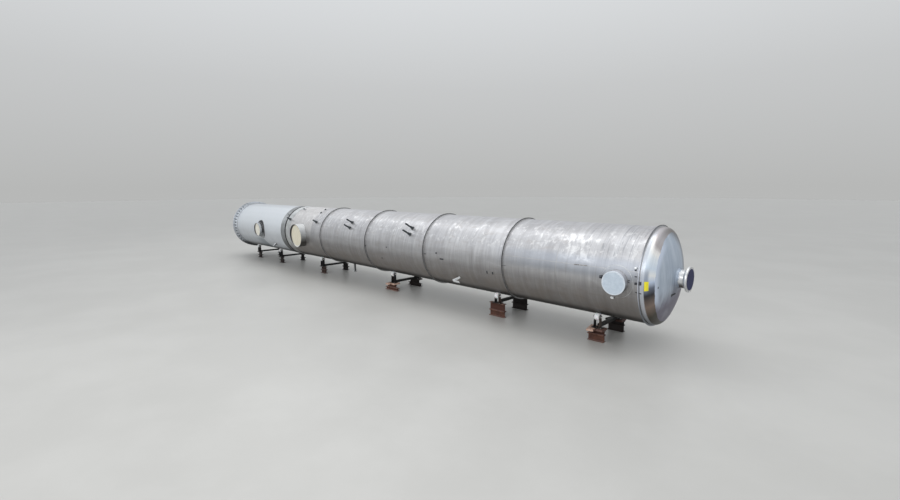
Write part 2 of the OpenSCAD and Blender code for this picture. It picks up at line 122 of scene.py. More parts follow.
class Graph:
    """Writes the nodes of one material around a single Principled shader."""

    def __init__(self, name: str) -> None:
        """Starts an empty material.

        Args:
            name: Name of the material.
        """
        self.material = bpy.data.materials.new(name)
        self.material.use_nodes = True
        self.tree = self.material.node_tree
        self.tree.nodes.clear()
        self.shader = self.tree.nodes.new("ShaderNodeBsdfPrincipled")
        out = self.tree.nodes.new("ShaderNodeOutputMaterial")
        self.tree.links.new(self.shader.outputs["BSDF"], out.inputs["Surface"])
        self._place: Optional[Socket] = None

    def feed(self, socket: Socket, value: object) -> None:
        """Links a socket into an input, or sets the input to a constant.

        Args:
            socket: The input.
            value: A socket, a number or a colour of three numbers.
        """
        if isinstance(value, bpy.types.NodeSocket):
            self.tree.links.new(value, socket)
        elif isinstance(value, tuple) and socket.type == "RGBA":
            socket.default_value = (*value, 1.0)
        else:
            socket.default_value = value

    def place(self) -> Socket:
        """Object coordinates, which are the part's own metres."""
        if self._place is None:
            self._place = self.tree.nodes.new("ShaderNodeTexCoord").outputs["Object"]
        return self._place

    def axes(self) -> tuple[Socket, Socket, Socket]:
        """The X, Y and Z of the place as three sockets."""
        node = self.tree.nodes.new("ShaderNodeSeparateXYZ")
        self.feed(node.inputs[0], self.place())
        return node.outputs[0], node.outputs[1], node.outputs[2]

    def away(self) -> Socket:
        """Distance from the column's axis."""
        _, y, z = self.axes()
        return self.length(y, z)

    def azimuth(self) -> Socket:
        """Angle round the column in degrees, 0 at the near side and growing upwards."""
        _, y, z = self.axes()
        return self.calc("DEGREES", self.calc("ARCTAN2", z, self.times(y, -1.0)))

    def stretch(self, sx: float, sy: float, sz: float) -> Socket:
        """The place with each axis multiplied.

        Args:
            sx: Factor along X.
            sy: Factor along Y.
            sz: Factor along Z.

        Returns:
            The stretched vector.
        """
        node = self.tree.nodes.new("ShaderNodeMapping")
        node.inputs["Scale"].default_value = (sx, sy, sz)
        self.feed(node.inputs["Vector"], self.place())
        return node.outputs[0]

    def calc(self, op: str, a: Value, b: Value = 0.0) -> Socket:
        """One Math node.

        Args:
            op: Blender's name of the operation.
            a: First value.
            b: Second value.

        Returns:
            The result.
        """
        node = self.tree.nodes.new("ShaderNodeMath")
        node.operation = op
        self.feed(node.inputs[0], a)
        self.feed(node.inputs[1], b)
        return node.outputs[0]

    def band(self, value: Value, low: float, high: float, start: float = 0.0,
             end: float = 1.0) -> Socket:
        """A smooth step of a value from one level to another.

        Args:
            value: What is read.
            low: Where the step begins.
            high: Where it ends; below low it falls instead of rising.
            start: Level before the step.
            end: Level after it.

        Returns:
            The stepped value.
        """
        node = self.tree.nodes.new("ShaderNodeMapRange")
        node.interpolation_type = "SMOOTHSTEP"
        flip = high < low
        for key, number in (("From Min", min(low, high)), ("From Max", max(low, high)),
                            ("To Min", end if flip else start),
                            ("To Max", start if flip else end)):
            node.inputs[key].default_value = number
        self.feed(node.inputs["Value"], value)
        return node.outputs[0]

    def normal(self) -> tuple[Socket, Socket, Socket]:
        """The X, Y and Z of the face's own direction."""
        split = self.tree.nodes.new("ShaderNodeSeparateXYZ")
        self.feed(split.inputs[0], self.tree.nodes.new("ShaderNodeNewGeometry").outputs["Normal"])
        return split.outputs[0], split.outputs[1], split.outputs[2]

    def up(self) -> Socket:
        """1 on faces that look up."""
        return self.band(self.normal()[2], 0.5, 0.95)

    def times(self, *values: Value) -> Socket:
        """The product of two or more values."""
        out = values[0]
        for value in values[1:]:
            out = self.calc("MULTIPLY", out, value)
        return out

    def plus(self, a: Value, b: Value) -> Socket:
        """The sum of two values."""
        return self.calc("ADD", a, b)

    def minus(self, a: Value, b: Value) -> Socket:
        """The first value less the second."""
        return self.calc("SUBTRACT", a, b)

    def larger(self, a: Value, b: Value) -> Socket:
        """The larger of two values."""
        return self.calc("MAXIMUM", a, b)

    def length(self, a: Value, b: Value) -> Socket:
        """The root of the sum of two values' squares."""
        return self.calc("SQRT", self.plus(self.times(a, a), self.times(b, b)))

    def sway(self, noise: Value, reach: float) -> Socket:
        """Noise moved to around zero, times its reach."""
        return self.times(self.minus(noise, 0.5), reach)

    def off(self, x0: float, z0: float) -> tuple[Socket, Socket, Socket]:
        """Offsets along X and Z from a point of the near side, and the distance from it."""
        x, _, z = self.axes()
        dx, dz = self.minus(x, x0), self.minus(z, z0)
        return dx, dz, self.length(dx, dz)

    def within(self, value: Value, low: float, high: float, soft: float) -> Socket:
        """1 where a value lies between two levels, falling off softly outside.

        Args:
            value: What is read.
            low: Lower level.
            high: Upper level.
            soft: Width of each fall.

        Returns:
            The share.
        """
        return self.times(self.band(value, low - soft, low),
                          self.band(value, high + soft, high))

    def levels(self, value: Value, stops: Stops) -> Socket:
        """A grey level read from a value through given stops.

        Args:
            value: What is read.
            stops: Value and grey level of each stop, in rising order.

        Returns:
            The grey level as a colour.
        """
        return self.ramp(value, [(place, (level,) * 3) for place, level in stops], "EASE")

    def ramp(self, value: Value, stops: Sequence[tuple[float, Colour]],
             curve: str = "LINEAR") -> Socket:
        """A colour read from a value through given stops.

        Args:
            value: What is read.
            stops: Value and colour of each stop, in rising order.
            curve: Blender's name of the way between stops.

        Returns:
            The colour.
        """
        low, high = stops[0][0], stops[-1][0]
        node = self.tree.nodes.new("ShaderNodeValToRGB")
        node.color_ramp.interpolation = curve
        fill_ramp(node.color_ramp, [((at - low) / (high - low), tint) for at, tint in stops])
        self.feed(node.inputs[0], self.calc("DIVIDE", self.minus(value, low), high - low))
        return node.outputs[0]

    def noise(self, vector: Socket, scale: float = 1.0, detail: float = 3.0,
              rough: float = 0.5, warp: float = 0.0) -> Socket:
        """Cloudy noise around one half.

        Args:
            vector: Where it is read.
            scale: Size factor.
            detail: Number of octaves.
            rough: Weight of the finer octaves.
            warp: Distortion.

        Returns:
            The noise value.
        """
        node = self.tree.nodes.new("ShaderNodeTexNoise")
        for key, number in (("Scale", scale), ("Detail", detail), ("Roughness", rough),
                            ("Distortion", warp)):
            node.inputs[key].default_value = number
        self.feed(node.inputs["Vector"], vector)
        return node.outputs[0]

    def cloud(self, scale: float, **more: float) -> Socket:
        """Noise of a size at the place, with the other arguments of noise."""
        return self.noise(self.place(), scale, **more)

    def streaks(self, sx: float, sy: float, sz: float, **more: float) -> Socket:
        """Noise drawn out along the axes, with the other arguments of noise."""
        return self.noise(self.stretch(sx, sy, sz), **more)

    def cells(self, vector: Socket, scale: float) -> Socket:
        """Distance to the nearest of scattered points.

        Args:
            vector: Where it is read.
            scale: Size factor.

        Returns:
            The distance.
        """
        node = self.tree.nodes.new("ShaderNodeTexVoronoi")
        node.inputs["Scale"].default_value = scale
        self.feed(node.inputs["Vector"], vector)
        return node.outputs["Distance"]

    def mix(self, share: Value, a: object, b: object, mode: str = "MIX") -> Socket:
        """Blends two colours.

        Args:
            share: How much of b.
            a: First colour.
            b: Second colour.
            mode: Blender's blend type.

        Returns:
            The colour.
        """
        node = self.tree.nodes.new("ShaderNodeMix")
        node.data_type = "RGBA"
        node.blend_type = mode
        self.feed(node.inputs[0], share)
        self.feed(node.inputs[6], a)
        self.feed(node.inputs[7], b)
        return node.outputs[2]

    def shaded(self, colour: object, value: Value, stops: Stops) -> Socket:
        """A colour multiplied by the grey level read from a value."""
        return self.mix(1.0, colour, self.levels(value, stops), "MULTIPLY")

    def over(self, under: object, tint: object, *shares: Value) -> Socket:
        """Lays a tint over a colour by the product of its shares."""
        return self.mix(self.times(*shares), under, tint)

    def bump(self, height: Value, depth: float, below: Optional[Socket] = None) -> Socket:
        """Turns a height into a normal.

        Args:
            height: Height between 0 and 1.
            depth: Depth in metres that a height of 1 stands for.
            below: Normal of a coarser bump.

        Returns:
            The normal.
        """
        node = self.tree.nodes.new("ShaderNodeBump")
        node.inputs["Distance"].default_value = depth
        self.feed(node.inputs["Height"], height)
        if below is not None:
            self.feed(node.inputs["Normal"], below)
        return node.outputs[0]

    def finish(self, colour: object, rough: Value, metal: Value,
               normal: Optional[Socket] = None, **constants: float) -> Material:
        """Feeds the shader and hands back the material.

        Args:
            colour: Base colour.
            rough: Roughness.
            metal: Metallic share.
            normal: Bumped normal.
            **constants: Plain numbers for other sockets, with _ for a space.

        Returns:
            The finished material.
        """
        self.feed(self.shader.inputs["Base Color"], colour)
        self.feed(self.shader.inputs["Roughness"], rough)
        self.feed(self.shader.inputs["Metallic"], metal)
        if normal is not None:
            self.feed(self.shader.inputs["Normal"], normal)
        for key, number in constants.items():
            self.shader.inputs[key.replace("_", " ")].default_value = number
        return self.material


# Surfaces


def full_turn(steps: int) -> Array:
    """Angles once round, without the last."""
    return np.linspace(0, 2 * np.pi, steps, endpoint=False)


def superellipse(t: Array, power: float) -> tuple[Array, Array]:
    """Cosine and sine of t, each raised to a power with its sign kept."""
    return (np.sign(np.cos(t)) * np.abs(np.cos(t)) ** power,
            np.sign(np.sin(t)) * np.abs(np.sin(t)) ** power)


@dataclass
class Patch:
    """A grid of points, shape (n, m, 3), and how it closes on itself."""

    grid: Array
    closed_u: bool = False
    closed_v: bool = True
    caps: bool = False

    def faces(self, first: int) -> list[list[int]]:
        """Vertex numbers of its faces.

        Args:
            first: Number of its first vertex in the whole mesh.

        Returns:
            Quads between neighbours, and the two end polygons where it is capped.
        """
        n, m = self.grid.shape[:2]
        i = np.arange(n if self.closed_u else n - 1)[:, None]
        j = np.arange(m if self.closed_v else m - 1)[None, :]
        i2, j2 = (i + 1) % n, (j + 1) % m
        quads = np.stack([i * m + j, i * m + j2, i2 * m + j2, i2 * m + j], axis=-1)
        out = (quads.reshape(-1, 4) + first).tolist()
        if self.caps:
            ring = np.arange(m)
            out.append((ring[::-1] + first).tolist())
            out.append((ring + (n - 1) * m + first).tolist())
        return out


def build_piece(name: str, patches: Sequence[Patch], material: Material,
                body: str = "root", replaces: Sequence[str] = (),
                sharp: float = 35.0) -> bpy.types.Object:
    """Puts patches into one mesh object, hangs it on its body and hides the nodes that it stands
    for.

    Args:
        name: Name of the piece.
        patches: Its surfaces.
        material: Its material.
        body: Body that it rides on.
        replaces: Nodes that it stands for.
        sharp: Angle in degrees above which an edge is sharp.

    Returns:
        The object.
    """
    points = np.concatenate([p.grid.reshape(-1, 3) for p in patches])
    faces: list[list[int]] = []
    first = 0
    for patch in patches:
        faces += patch.faces(first)
        first += patch.grid.shape[0] * patch.grid.shape[1]
    mesh = bpy.data.meshes.new(name)
    mesh.from_pydata(points.tolist(), [], faces)
    work = bmesh.new()
    work.from_mesh(mesh)
    bmesh.ops.recalc_face_normals(work, faces=work.faces)
    work.to_mesh(mesh)
    work.free()
    mesh.polygons.foreach_set("use_smooth", np.ones(len(mesh.polygons), bool))
    mesh.set_sharp_from_angle(angle=math.radians(sharp))
    mesh.materials.append(material)
    piece = bpy.data.objects.new(name, mesh)
    bpy.context.scene.collection.objects.link(piece)
    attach(piece, body)
    for node in replaces:
        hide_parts(node)
    LOG.info("%s: %d faces on %s", name, len(mesh.polygons), body)
    return piece


def turned(profile: Array, centre: Array, axis: Array, steps: int,
           lobes: Optional[Array] = None) -> Array:
    """Turns a profile round an axis.

    A point (a, r) of the profile goes to centre + a * axis + r * (cos t * e1 + sin t * e2) for
    t once round, with e1 and e2 square to the axis. lobes multiplies r by angle.

    Args:
        profile: Shape (m, 2): place along the axis and radius.
        centre: Foot of the axis.
        axis: Unit direction.
        steps: Number of turns' steps.
        lobes: Shape (steps,) factor on the radius.

    Returns:
        Grid (steps, m, 3), closed round.
    """
    axis = axis / np.linalg.norm(axis)
    side = np.array([0.0, 0.0, 1.0]) if abs(axis[2]) < 0.9 else np.array([1.0, 0.0, 0.0])
    e1 = np.cross(axis, side)
    e1 /= np.linalg.norm(e1)
    e2 = np.cross(axis, e1)
    t = full_turn(steps)
    k = np.ones(steps) if lobes is None else lobes
    around = (np.cos(t)[:, None] * e1 + np.sin(t)[:, None] * e2) * k[:, None]
    return centre + profile[None, :, :1] * axis + profile[None, :, 1:] * around[:, None, :]


def hexagon(steps: int) -> Array:
    """Radius factor of a hexagon by angle: cos 30 over cos of the angle from the flat's middle."""
    t = full_turn(steps)
    fold = (t + np.pi / 6) % (np.pi / 3) - np.pi / 6
    return math.cos(math.pi / 6) / np.cos(fold)


def bead(path: Array, out: Array, wide: float, high: float, closed: bool,
         ripple: float = 0.0, sides: int = 6) -> Patch:
    """A weld bead: an ellipse carried along a path, with its ripples.

    At each point of the path the section is wide * cos s across and high * sin s along out, and
    its height swells by ripple with the sine of the length run.

    Args:
        path: Shape (n, 3).
        out: Shape (n, 3), unit vectors away from the plate.
        wide: Half width.
        high: Height above the plate.
        closed: Whether the path returns to its start.
        ripple: Share by which the height swells.
        sides: Number of points of the section.

    Returns:
        The bead's patch.
    """
    ahead = np.roll(path, -1, 0) - np.roll(path, 1, 0)
    if not closed:
        ahead[0], ahead[-1] = path[1] - path[0], path[-1] - path[-2]
    across = np.cross(ahead, out)
    across /= np.linalg.norm(across, axis=1, keepdims=True)
    swell = 1 + ripple * np.sin(np.arange(len(path)) * np.pi * 0.5)
    s = full_turn(sides)
    grid = (path[:, None] + wide * np.cos(s)[None, :, None] * across[:, None]
            + high * np.sin(s)[None, :, None] * out[:, None] * swell[:, None, None])
    return Patch(grid, closed_u=closed, caps=not closed)


def round_column(x: float, radius: float, steps: int = 360) -> tuple[Array, Array]:
    """A circle round the column and the directions away from its axis.

    Args:
        x: Place along the column.
        radius: Its radius.
        steps: Number of points.

    Returns:
        Points and outward unit vectors, each of shape (steps, 3).
    """
    t = full_turn(steps)
    out = np.stack([np.zeros(steps), np.cos(t), np.sin(t)], axis=1)
    return out * radius + np.array([x, 0, 0]), out


def ring_bead(x: float, radius: float, wide: float, high: float, ripple: float = 0.12) -> Patch:
    """A bead once round the column.

    Args:
        x: Place along the column.
        radius: Radius that it lies on.
        wide: Half width.
        high: Height.
        ripple: Share by which the height swells.

    Returns:
        The bead's patch.
    """
    path, out = round_column(x, radius)
    return bead(path, out, wide, high, True, ripple)


@dataclass(frozen=True)
class Opening:
    """A place on the column's side: x along it and azimuth in degrees above the near side."""

    x: float
    azimuth: float

    def frame(self) -> tuple[Array, Array, Array]:
        """Unit vectors along the column, round it and away from its axis."""
        a = math.radians(self.azimuth)
        return (np.array([1.0, 0.0, 0.0]), np.array([0.0, math.sin(a), math.cos(a)]),
                np.array([0.0, -math.cos(a), math.sin(a)]))

    def at(self, u: Array, v: Array, w: Array) -> Array:
        """Points at u along the column, v round it and w away from its axis.

        Args:
            u: Distances along the column.
            v: Distances round it.
            w: Distances from the axis.

        Returns:
            Points, with the three coordinates last.
        """
        eu, ev, ew = self.frame()
        u, v, w = np.broadcast_arrays(u, v, w)
        return (np.array([self.x, 0, 0]) + u[..., None] * eu + v[..., None] * ev
                + w[..., None] * ew)

    def saddle(self, r: float, radius: float, aside: float = 0.0,
               steps: int = 180) -> tuple[Array, Array]:
        """Where a neck of radius r meets a cylinder of the column's axis.

        u = r cos t, v = aside + r sin t, and w = sqrt(radius^2 - v^2).

        Args:
            r: Radius of the neck.
            radius: Radius of the cylinder.
            aside: How far the neck's axis passes beside the column's.
            steps: Number of points.

        Returns:
            Points and the unit vectors between the neck's and the cylinder's outward directions.
        """
        t = full_turn(steps)
        u, v = r * np.cos(t), aside + r * np.sin(t)
        w = np.sqrt(radius ** 2 - v ** 2)
        points = self.at(u, v, w)
        neck = self.at(np.cos(t), np.sin(t), np.zeros(steps)) - np.array([self.x, 0, 0])
        shell = points.copy()
        shell[:, 0] = 0
        shell /= np.linalg.norm(shell, axis=1, keepdims=True)
        out = neck + shell
        return points, out / np.linalg.norm(out, axis=1, keepdims=True)


# Sizes that the source fixes


@dataclass(frozen=True)
class Column:
    """The column's own places and sizes."""

    radius: float = 1.25
    skirt: float = 6.65
    rings: tuple[float, ...] = (10.125, 13.6, 17.075, 20.55, 24.575)
    ring_half: float = 0.008
    ring_height: float = 0.0453
    collars: tuple[float, ...] = (6.16, 6.61, 6.69, 7.14)
    pad_top: float = 1.2643
    tangent: float = 24.635
    crown: float = 2.5
    knuckle: float = 0.15
    access: Opening = Opening(3.67, -2.2)
    access_r: float = 0.365
    access_pad: float = 0.49
    side: Opening = Opening(8.263, -2.2)
    side_r: float = 0.555
    manway: Opening = Opening(24.038, -2.2)
    manway_r: float = 0.29
    manway_pad: float = 0.4
    manway_reach: float = 1.412
    small: tuple[tuple[Opening, float, float], ...] = (
        (Opening(4.96, -38), 0.0, 1.2503), (Opening(6.98, 30.6), 0.0, 1.2626),
        (Opening(9.535, 30.6), 0.0, 1.2503),
        (Opening(12.38, 29.5), 0.1718, 1.2503), (Opening(12.38, 29.5), -0.0828, 1.2503),
        (Opening(16.25, 29.5), 0.1718, 1.2503), (Opening(16.25, 29.5), -0.0828, 1.2503))
    small_r: float = 0.066
    drain: Opening = Opening(10.94, -90)
    drain_r: float = 0.055
    vapour_r: float = 0.2285
    vapour_back: float = 25.285

    def crown_x(self, r: Array) -> Array:
        """Where the crown's outer face lies at radius r: a sphere of radius crown.

        Args:
            r: Distance from the axis.

        Returns:
            X of the face.
        """
        drop = math.sqrt((self.crown - self.knuckle) ** 2 - (self.radius - self.knuckle) ** 2)
        return self.tangent - drop + np.sqrt(self.crown ** 2 - r ** 2)


@dataclass(frozen=True)
class Stands:
    """Places and sizes of the six stands."""

    at: tuple[float, ...] = (1.85, 4.68, 9.1, 14.6, 19.9, 23.3)
    height: tuple[float, ...] = (0.315, 0.315, 0.315, 0.315, 0.435, 0.365)
    split: tuple[float, ...] = (0.155, 0.155, 0.165, 0.11, 0.19, 0.19)
    shifts: tuple[tuple[float, ...], ...] = ((0.1, 0.1, 0.1, -0.1, 0.0, -0.02),
                                             (0.1, 0.1, 0.1, -0.12, 0.0, -0.02))
    lengths: tuple[tuple[float, ...], ...] = ((0.44, 0.44, 0.44, 0.75, 0.59, 0.46),
                                              (0.40, 0.34, 0.42, 0.56, 0.59, 0.46))
    timbered: tuple[int, ...] = (3, 5)
    timber: float = 0.055
    y: float = 0.61
    roller_z: float = -1.201859
    floor_z: float = -1.874859
    cheek: float = 0.0685
    cheek_t: float = 0.016
    shaft_r: float = 0.025
    foot_t: float = 0.016

    def top(self, i: int) -> float:
        """Level of the top of the stack with index i."""
        return self.floor_z + self.height[i]

    def beam(self, i: int, layer: int) -> tuple[float, float]:
        """Underside and height of a beam.

        Args:
            i: Index of the stand.
            layer: 0 for the lower and 1 for the upper beam.

        Returns:
            Its underside's level and its height.
        """
        if layer == 0:
            return self.floor_z, self.split[i]
        timber = self.timber if i in self.timbered else 0.0
        return self.floor_z + self.split[i], self.height[i] - timber - self.split[i]


COLUMN = Column()
STANDS = Stands()


# Finishes


class Finish(ABC):
    """A surface finish that can write its material."""

    @abstractmethod
    def material(self) -> Material:
        """The finish as a material."""


@dataclass(frozen=True)
class BrushedShell(Finish):
    """Stainless plate brushed round the column, browned below by dirt and painted shade, with
    painted glints and painted dimming on the upper side, painted shade in the groove, and tinted
    at its welds.
    """

    name: str = "brushed_shell"
    light: Colour = (0.645, 0.645, 0.660)
    dark: Colour = (0.520, 0.520, 0.540)
    grime_and_shade: Colour = (0.49, 0.41, 0.34)
    # Colour of the painted glints on the upper side.
    patch: Colour = (0.97, 0.97, 0.97)
    smears: tuple[Colour, Colour] = ((0.50, 0.47, 0.46), (0.72, 0.725, 0.75))
    bands: tuple[Colour, Colour] = ((0.46, 0.455, 0.465), (0.76, 0.765, 0.785))
    arc: Colour = (0.30, 0.31, 0.34)
    first: Colour = (0.82, 0.80, 0.785)
    painted_dim: Colour = (0.37, 0.41, 0.48)
    run: Colour = (0.33, 0.31, 0.30)
    heat: Colour = (0.36, 0.33, 0.30)
    seams: tuple[float, ...] = COLUMN.rings
    shade: Stops = ((-1.25, 0.06), (-1.08, 0.12), (-0.884, 0.56), (-0.625, 0.53), (-0.32, 0.55),
                    (0.0, 0.78), (0.32, 1.0), (0.625, 1.02), (0.884, 0.97), (1.08, 0.76),
                    (1.25, 0.86))

    def material(self) -> Material:
        """Streaks come from noise stretched round the column, so they have no seam."""
        g = Graph(self.name)
        x, _, z = g.axes()
        fine = g.streaks(160.0, 2.2, 2.2, detail=4.0, rough=0.6)
        streak = g.streaks(30.0, 1.3, 1.3, detail=4.0, rough=0.55, warp=0.2)
        broad = g.streaks(2.6, 0.9, 0.9, detail=3.0)
        cloud = g.cloud(2.6, detail=5.0, rough=0.6)
        tone = g.plus(g.times(streak, 0.45), g.times(broad, 0.55))
        colour = g.mix(g.band(tone, 0.34, 0.66), self.dark, self.light)
        colour = g.over(colour, self.light, g.band(fine, 0.4, 0.7), 0.12)
        smear = g.streaks(1.1, 5.0, 5.0, scale=1.6, detail=5.0, rough=0.6, warp=0.5)
        colour = g.over(colour, self.smears[0], g.band(smear, 0.52, 0.70), 0.45)
        colour = g.over(colour, self.smears[1], g.band(smear, 0.46, 0.32), 0.40)
        bands = g.streaks(8.0, 0.8, 0.8, detail=3.0, rough=0.55)
        share = g.band(x, 7.5, 9.5, 0.15, 0.42)
        colour = g.over(colour, self.bands[0], g.band(bands, 0.50, 0.66), share)
        colour = g.over(colour, self.bands[1], g.band(bands, 0.48, 0.34), share)
        arcs = g.streaks(12.0, 0.5, 0.5, detail=1.0)
        arcs = g.times(g.within(arcs, 0.50, 0.515, 0.02), g.band(x, 22.6, 23.4),
                       g.band(z, 0.0, 0.5))
        colour = g.over(colour, self.arc, arcs, 0.55)
        first = g.times(g.band(x, 9.22, 9.18), g.band(z, -0.9, 0.4, 0.3, 0.5))
        colour = g.over(colour, self.first, first)
        # Painted highlights: white patches over the upper side, thickest in a leaning band before
        # the top head.
        swirl = g.streaks(7.0, 5.5, 5.5, detail=4.0, rough=0.6, warp=0.4)
        lean = g.plus(x, g.times(z, 0.43))
        glint_zone = g.times(g.band(lean, 22.2, 23.0), g.band(lean, 23.66, 23.5))
        glint_zone = g.times(glint_zone, g.within(z, 0.42, 0.92, 0.14))
        upper = g.times(g.band(z, 0.3, 0.6), g.band(z, 1.24, 1.0), g.band(swirl, 0.52, 0.66))
        glint_spots = g.larger(g.times(upper, 0.5), g.times(glint_zone, g.band(swirl, 0.38, 0.66)))
        colour = g.over(colour, self.patch, glint_spots, 0.9)
        # Painted shade: a bluish darkening of the upper near side between x = 19.5 and 22.
        painted_dim = g.times(g.band(x, 19.5, 22.0), g.within(z, 0.12, 0.4, 0.2), 0.55)
        colour = g.over(colour, self.painted_dim, painted_dim)
        # Browner and darker towards the bottom: partly dirt, partly painted shade.
        stain_and_shade = g.times(g.band(z, 0.1, -0.8), g.band(cloud, 0.3, 0.75, 0.6, 1.0))
        colour = g.over(colour, self.grime_and_shade, stain_and_shade, 0.6)
        runs = g.streaks(22.0, 1.1, 1.1, detail=2.0, rough=0.4)
        runs = g.times(g.band(runs, 0.6, 0.74), g.band(z, -0.75, -0.1), g.band(z, 0.5, 0.1))
        colour = g.over(colour, self.run, runs, 0.25)
        for place in self.seams:
            away = g.calc("ABSOLUTE", g.minus(x, place))
            heat = g.times(g.band(away, 0.06, 0.02), g.band(cloud, 0.35, 0.65, 0.3, 1.0), 0.3)
            colour = g.over(colour, self.heat, heat)
        colour = g.shaded(colour, z, self.shade)
        # Painted shade in the groove between the collars.
        groove = COLUMN.collars[2]
        colour = g.over(colour, GROOVE_SHADE, g.band(x, groove + 0.01, groove))
        rough = g.plus(0.42, g.plus(g.times(streak, 0.08), g.times(stain_and_shade, 0.12)))
        rough = g.minus(rough, g.times(glint_spots, 0.15))
        sheet = g.bump(g.streaks(1.4, 1.9, 1.9, detail=2.0), 0.009)
        return g.finish(colour, rough, 0.85, g.bump(fine, 0.0003, g.bump(streak, 0.0005, sheet)))


@dataclass(frozen=True)
class CoatedSkirt(Finish):
    """Smooth pale coat on the skirt, cloudier and darker towards the bottom, with faint roller
    marks, painted shade in its pockets and groove, and a painted shadow below the access neck.
    """

    name: str = "coated_skirt"
    coat: Colour = (0.79, 0.835, 0.885)
    dust: Colour = (0.63, 0.65, 0.68)
    shade: Stops = ((-1.25, 0.15), (-1.08, 0.26), (-0.884, 0.84), (-0.625, 0.88), (-0.32, 0.85),
                    (0.0, 0.97), (0.32, 1.0), (0.625, 0.94), (0.884, 0.87), (1.08, 0.80),
                    (1.24, 0.62), (1.37, 0.85))

    def material(self) -> Material:
        """Cloudy darkening towards the bottom over a satin coat, with painted shade between the
        anchor chairs and in the groove.
        """
        g = Graph(self.name)
        x, _, z = g.axes()
        cloud = g.cloud(1.9, detail=6.0, rough=0.6)
        marks = g.streaks(7.0, 1.4, 1.4, detail=4.0)
        speck = g.cells(g.place(), 42.0)
        # Cloudy darkening towards the bottom.
        low = g.times(g.band(z, 0.5, -1.1), g.band(cloud, 0.3, 0.7, 0.5, 1.0))
        colour = g.mix(low, self.coat, self.dust)
        colour = g.over(colour, (0.88, 0.90, 0.93), g.band(marks, 0.42, 0.66), 0.15)
        dots = g.times(g.band(speck, 0.16, 0.08), g.band(cloud, 0.55, 0.7), 0.6)
        colour = g.over(colour, (0.36, 0.36, 0.36), dots)
        turn = g.azimuth()
        edge = g.plus(g.times(g.minus(x, 3.54), 146.0), turn)
        shadow = g.times(g.band(edge, 14.0, -14.0), g.band(turn, -20.0, -32.0),
                         g.band(turn, -160.0, -100.0), g.band(x, 2.4, 3.4, 0.25, 0.75))
        colour = g.over(colour, (0.30, 0.345, 0.38), shadow)
        # Painted shade in the pockets between the anchor chairs and between the bolts on the
        # compression ring's rim.
        gap = g.calc("COSINE", g.times(turn, math.radians(48.0)))
        chair_pocket_shade = g.times(g.within(x, 0.045, 0.335, 0.006), g.band(g.away(), 1.252, 1.251))
        rim = g.times(g.within(x, 0.33, 0.38, 0.002), g.band(g.away(), 1.30, 1.33),
                      g.within(turn, -62.0, 48.0, 14.0))
        chair_pocket_shade = g.times(g.larger(chair_pocket_shade, rim), g.band(gap, -0.1, 0.4))
        colour = g.over(colour, (0.05, 0.06, 0.07), chair_pocket_shade, 0.85)
        colour = g.shaded(colour, z, self.shade)
        # Painted shade in the groove between the collars.
        groove = COLUMN.collars[1]
        colour = g.over(colour, GROOVE_SHADE, g.band(x, groove - 0.01, groove))
        rough = g.plus(0.42, g.times(low, 0.2))
        sheet = g.bump(g.streaks(1.1, 1.6, 1.6, detail=2.0), 0.008)
        return g.finish(colour, rough, 0.25, g.bump(marks, 0.0005, sheet), Coat_Weight=0.12,
                        Coat_Roughness=0.3)


@dataclass(frozen=True)
class OpeningPlate(Finish):
    """The access opening's neck and pad: bare streaked plate with painted shade along its upper
    right edge and inside the neck.
    """

    name: str = "opening_plate"

    def material(self) -> Material:
        """The painted shade is read from the place beside the opening's centre."""
        g = Graph(self.name)
        dx, dz, away = g.off(COLUMN.access.x, -0.045)
        cloud = g.cloud(9.0, detail=5.0, rough=0.65)
        streak = g.streaks(40.0, 6.0, 6.0, detail=4.0)
        colour = g.mix(g.band(cloud, 0.3, 0.68), (0.27, 0.285, 0.30), (0.42, 0.44, 0.46))
        colour = g.over(colour, (0.60, 0.62, 0.64), g.band(streak, 0.5, 0.6), 0.5)
        # Painted shade: a dark crescent round the pad's upper right and the neck's outer end.
        side = g.plus(g.times(dx, 0.8), g.times(dz, 0.6))
        edge = g.times(g.band(side, -0.05, 0.1), g.band(away, 0.41, 0.44))
        foot = g.times(g.band(g.axes()[1], -1.37, -1.31), g.band(side, 0.08, 0.22))
        colour = g.over(colour, (0.02, 0.023, 0.03), g.larger(edge, foot), 0.95)
        # Painted shade inside the neck.
        inside = g.times(g.band(away, 0.362, 0.357), g.band(side, -0.02, -0.12))
        colour = g.over(colour, (0.05, 0.05, 0.06), inside)
        rough = g.plus(0.45, g.times(cloud, 0.2))
        return g.finish(colour, rough, 0.4, g.bump(streak, 0.0006))


@dataclass(frozen=True)
class BandPlate(Finish):
    """Duller brushed plate of the collars, necks and bare fittings."""

    name: str = "band_plate"
    light: Colour = (0.60, 0.615, 0.63)
    dark: Colour = (0.40, 0.41, 0.41)
    rough: float = 0.4
    metal: float = 0.8
    lines: float = 70.0
    shade: Stops = ((-1.25, 0.5), (-0.9, 0.8), (-0.5, 1.0), (1.25, 1.0))

    def material(self) -> Material:
        """Lines round the column, mottled by cloudy tarnish, browned below, with painted shade in
        the groove.
        """
        g = Graph(self.name)
        x, _, z = g.axes()
        lines = g.streaks(self.lines, 3.0, 3.0, detail=4.0, rough=0.6)
        cloud = g.cloud(6.0, detail=5.0, rough=0.65)
        tone = g.times(g.band(cloud, 0.3, 0.68), g.band(lines, 0.25, 0.7, 0.6, 1.0))
        colour = g.mix(tone, self.dark, self.light)
        colour = g.over(colour, (0.40, 0.36, 0.31), g.band(z, 0.1, -1.1), 0.35)
        colour = g.shaded(colour, z, self.shade)
        # Painted shade in the groove between the collars.
        colour = g.over(colour, GROOVE_SHADE, g.within(x, 6.597, 6.703, 0.006))
        rough = g.plus(self.rough, g.times(cloud, 0.15))
        return g.finish(colour, rough, self.metal, g.bump(lines, 0.0005))


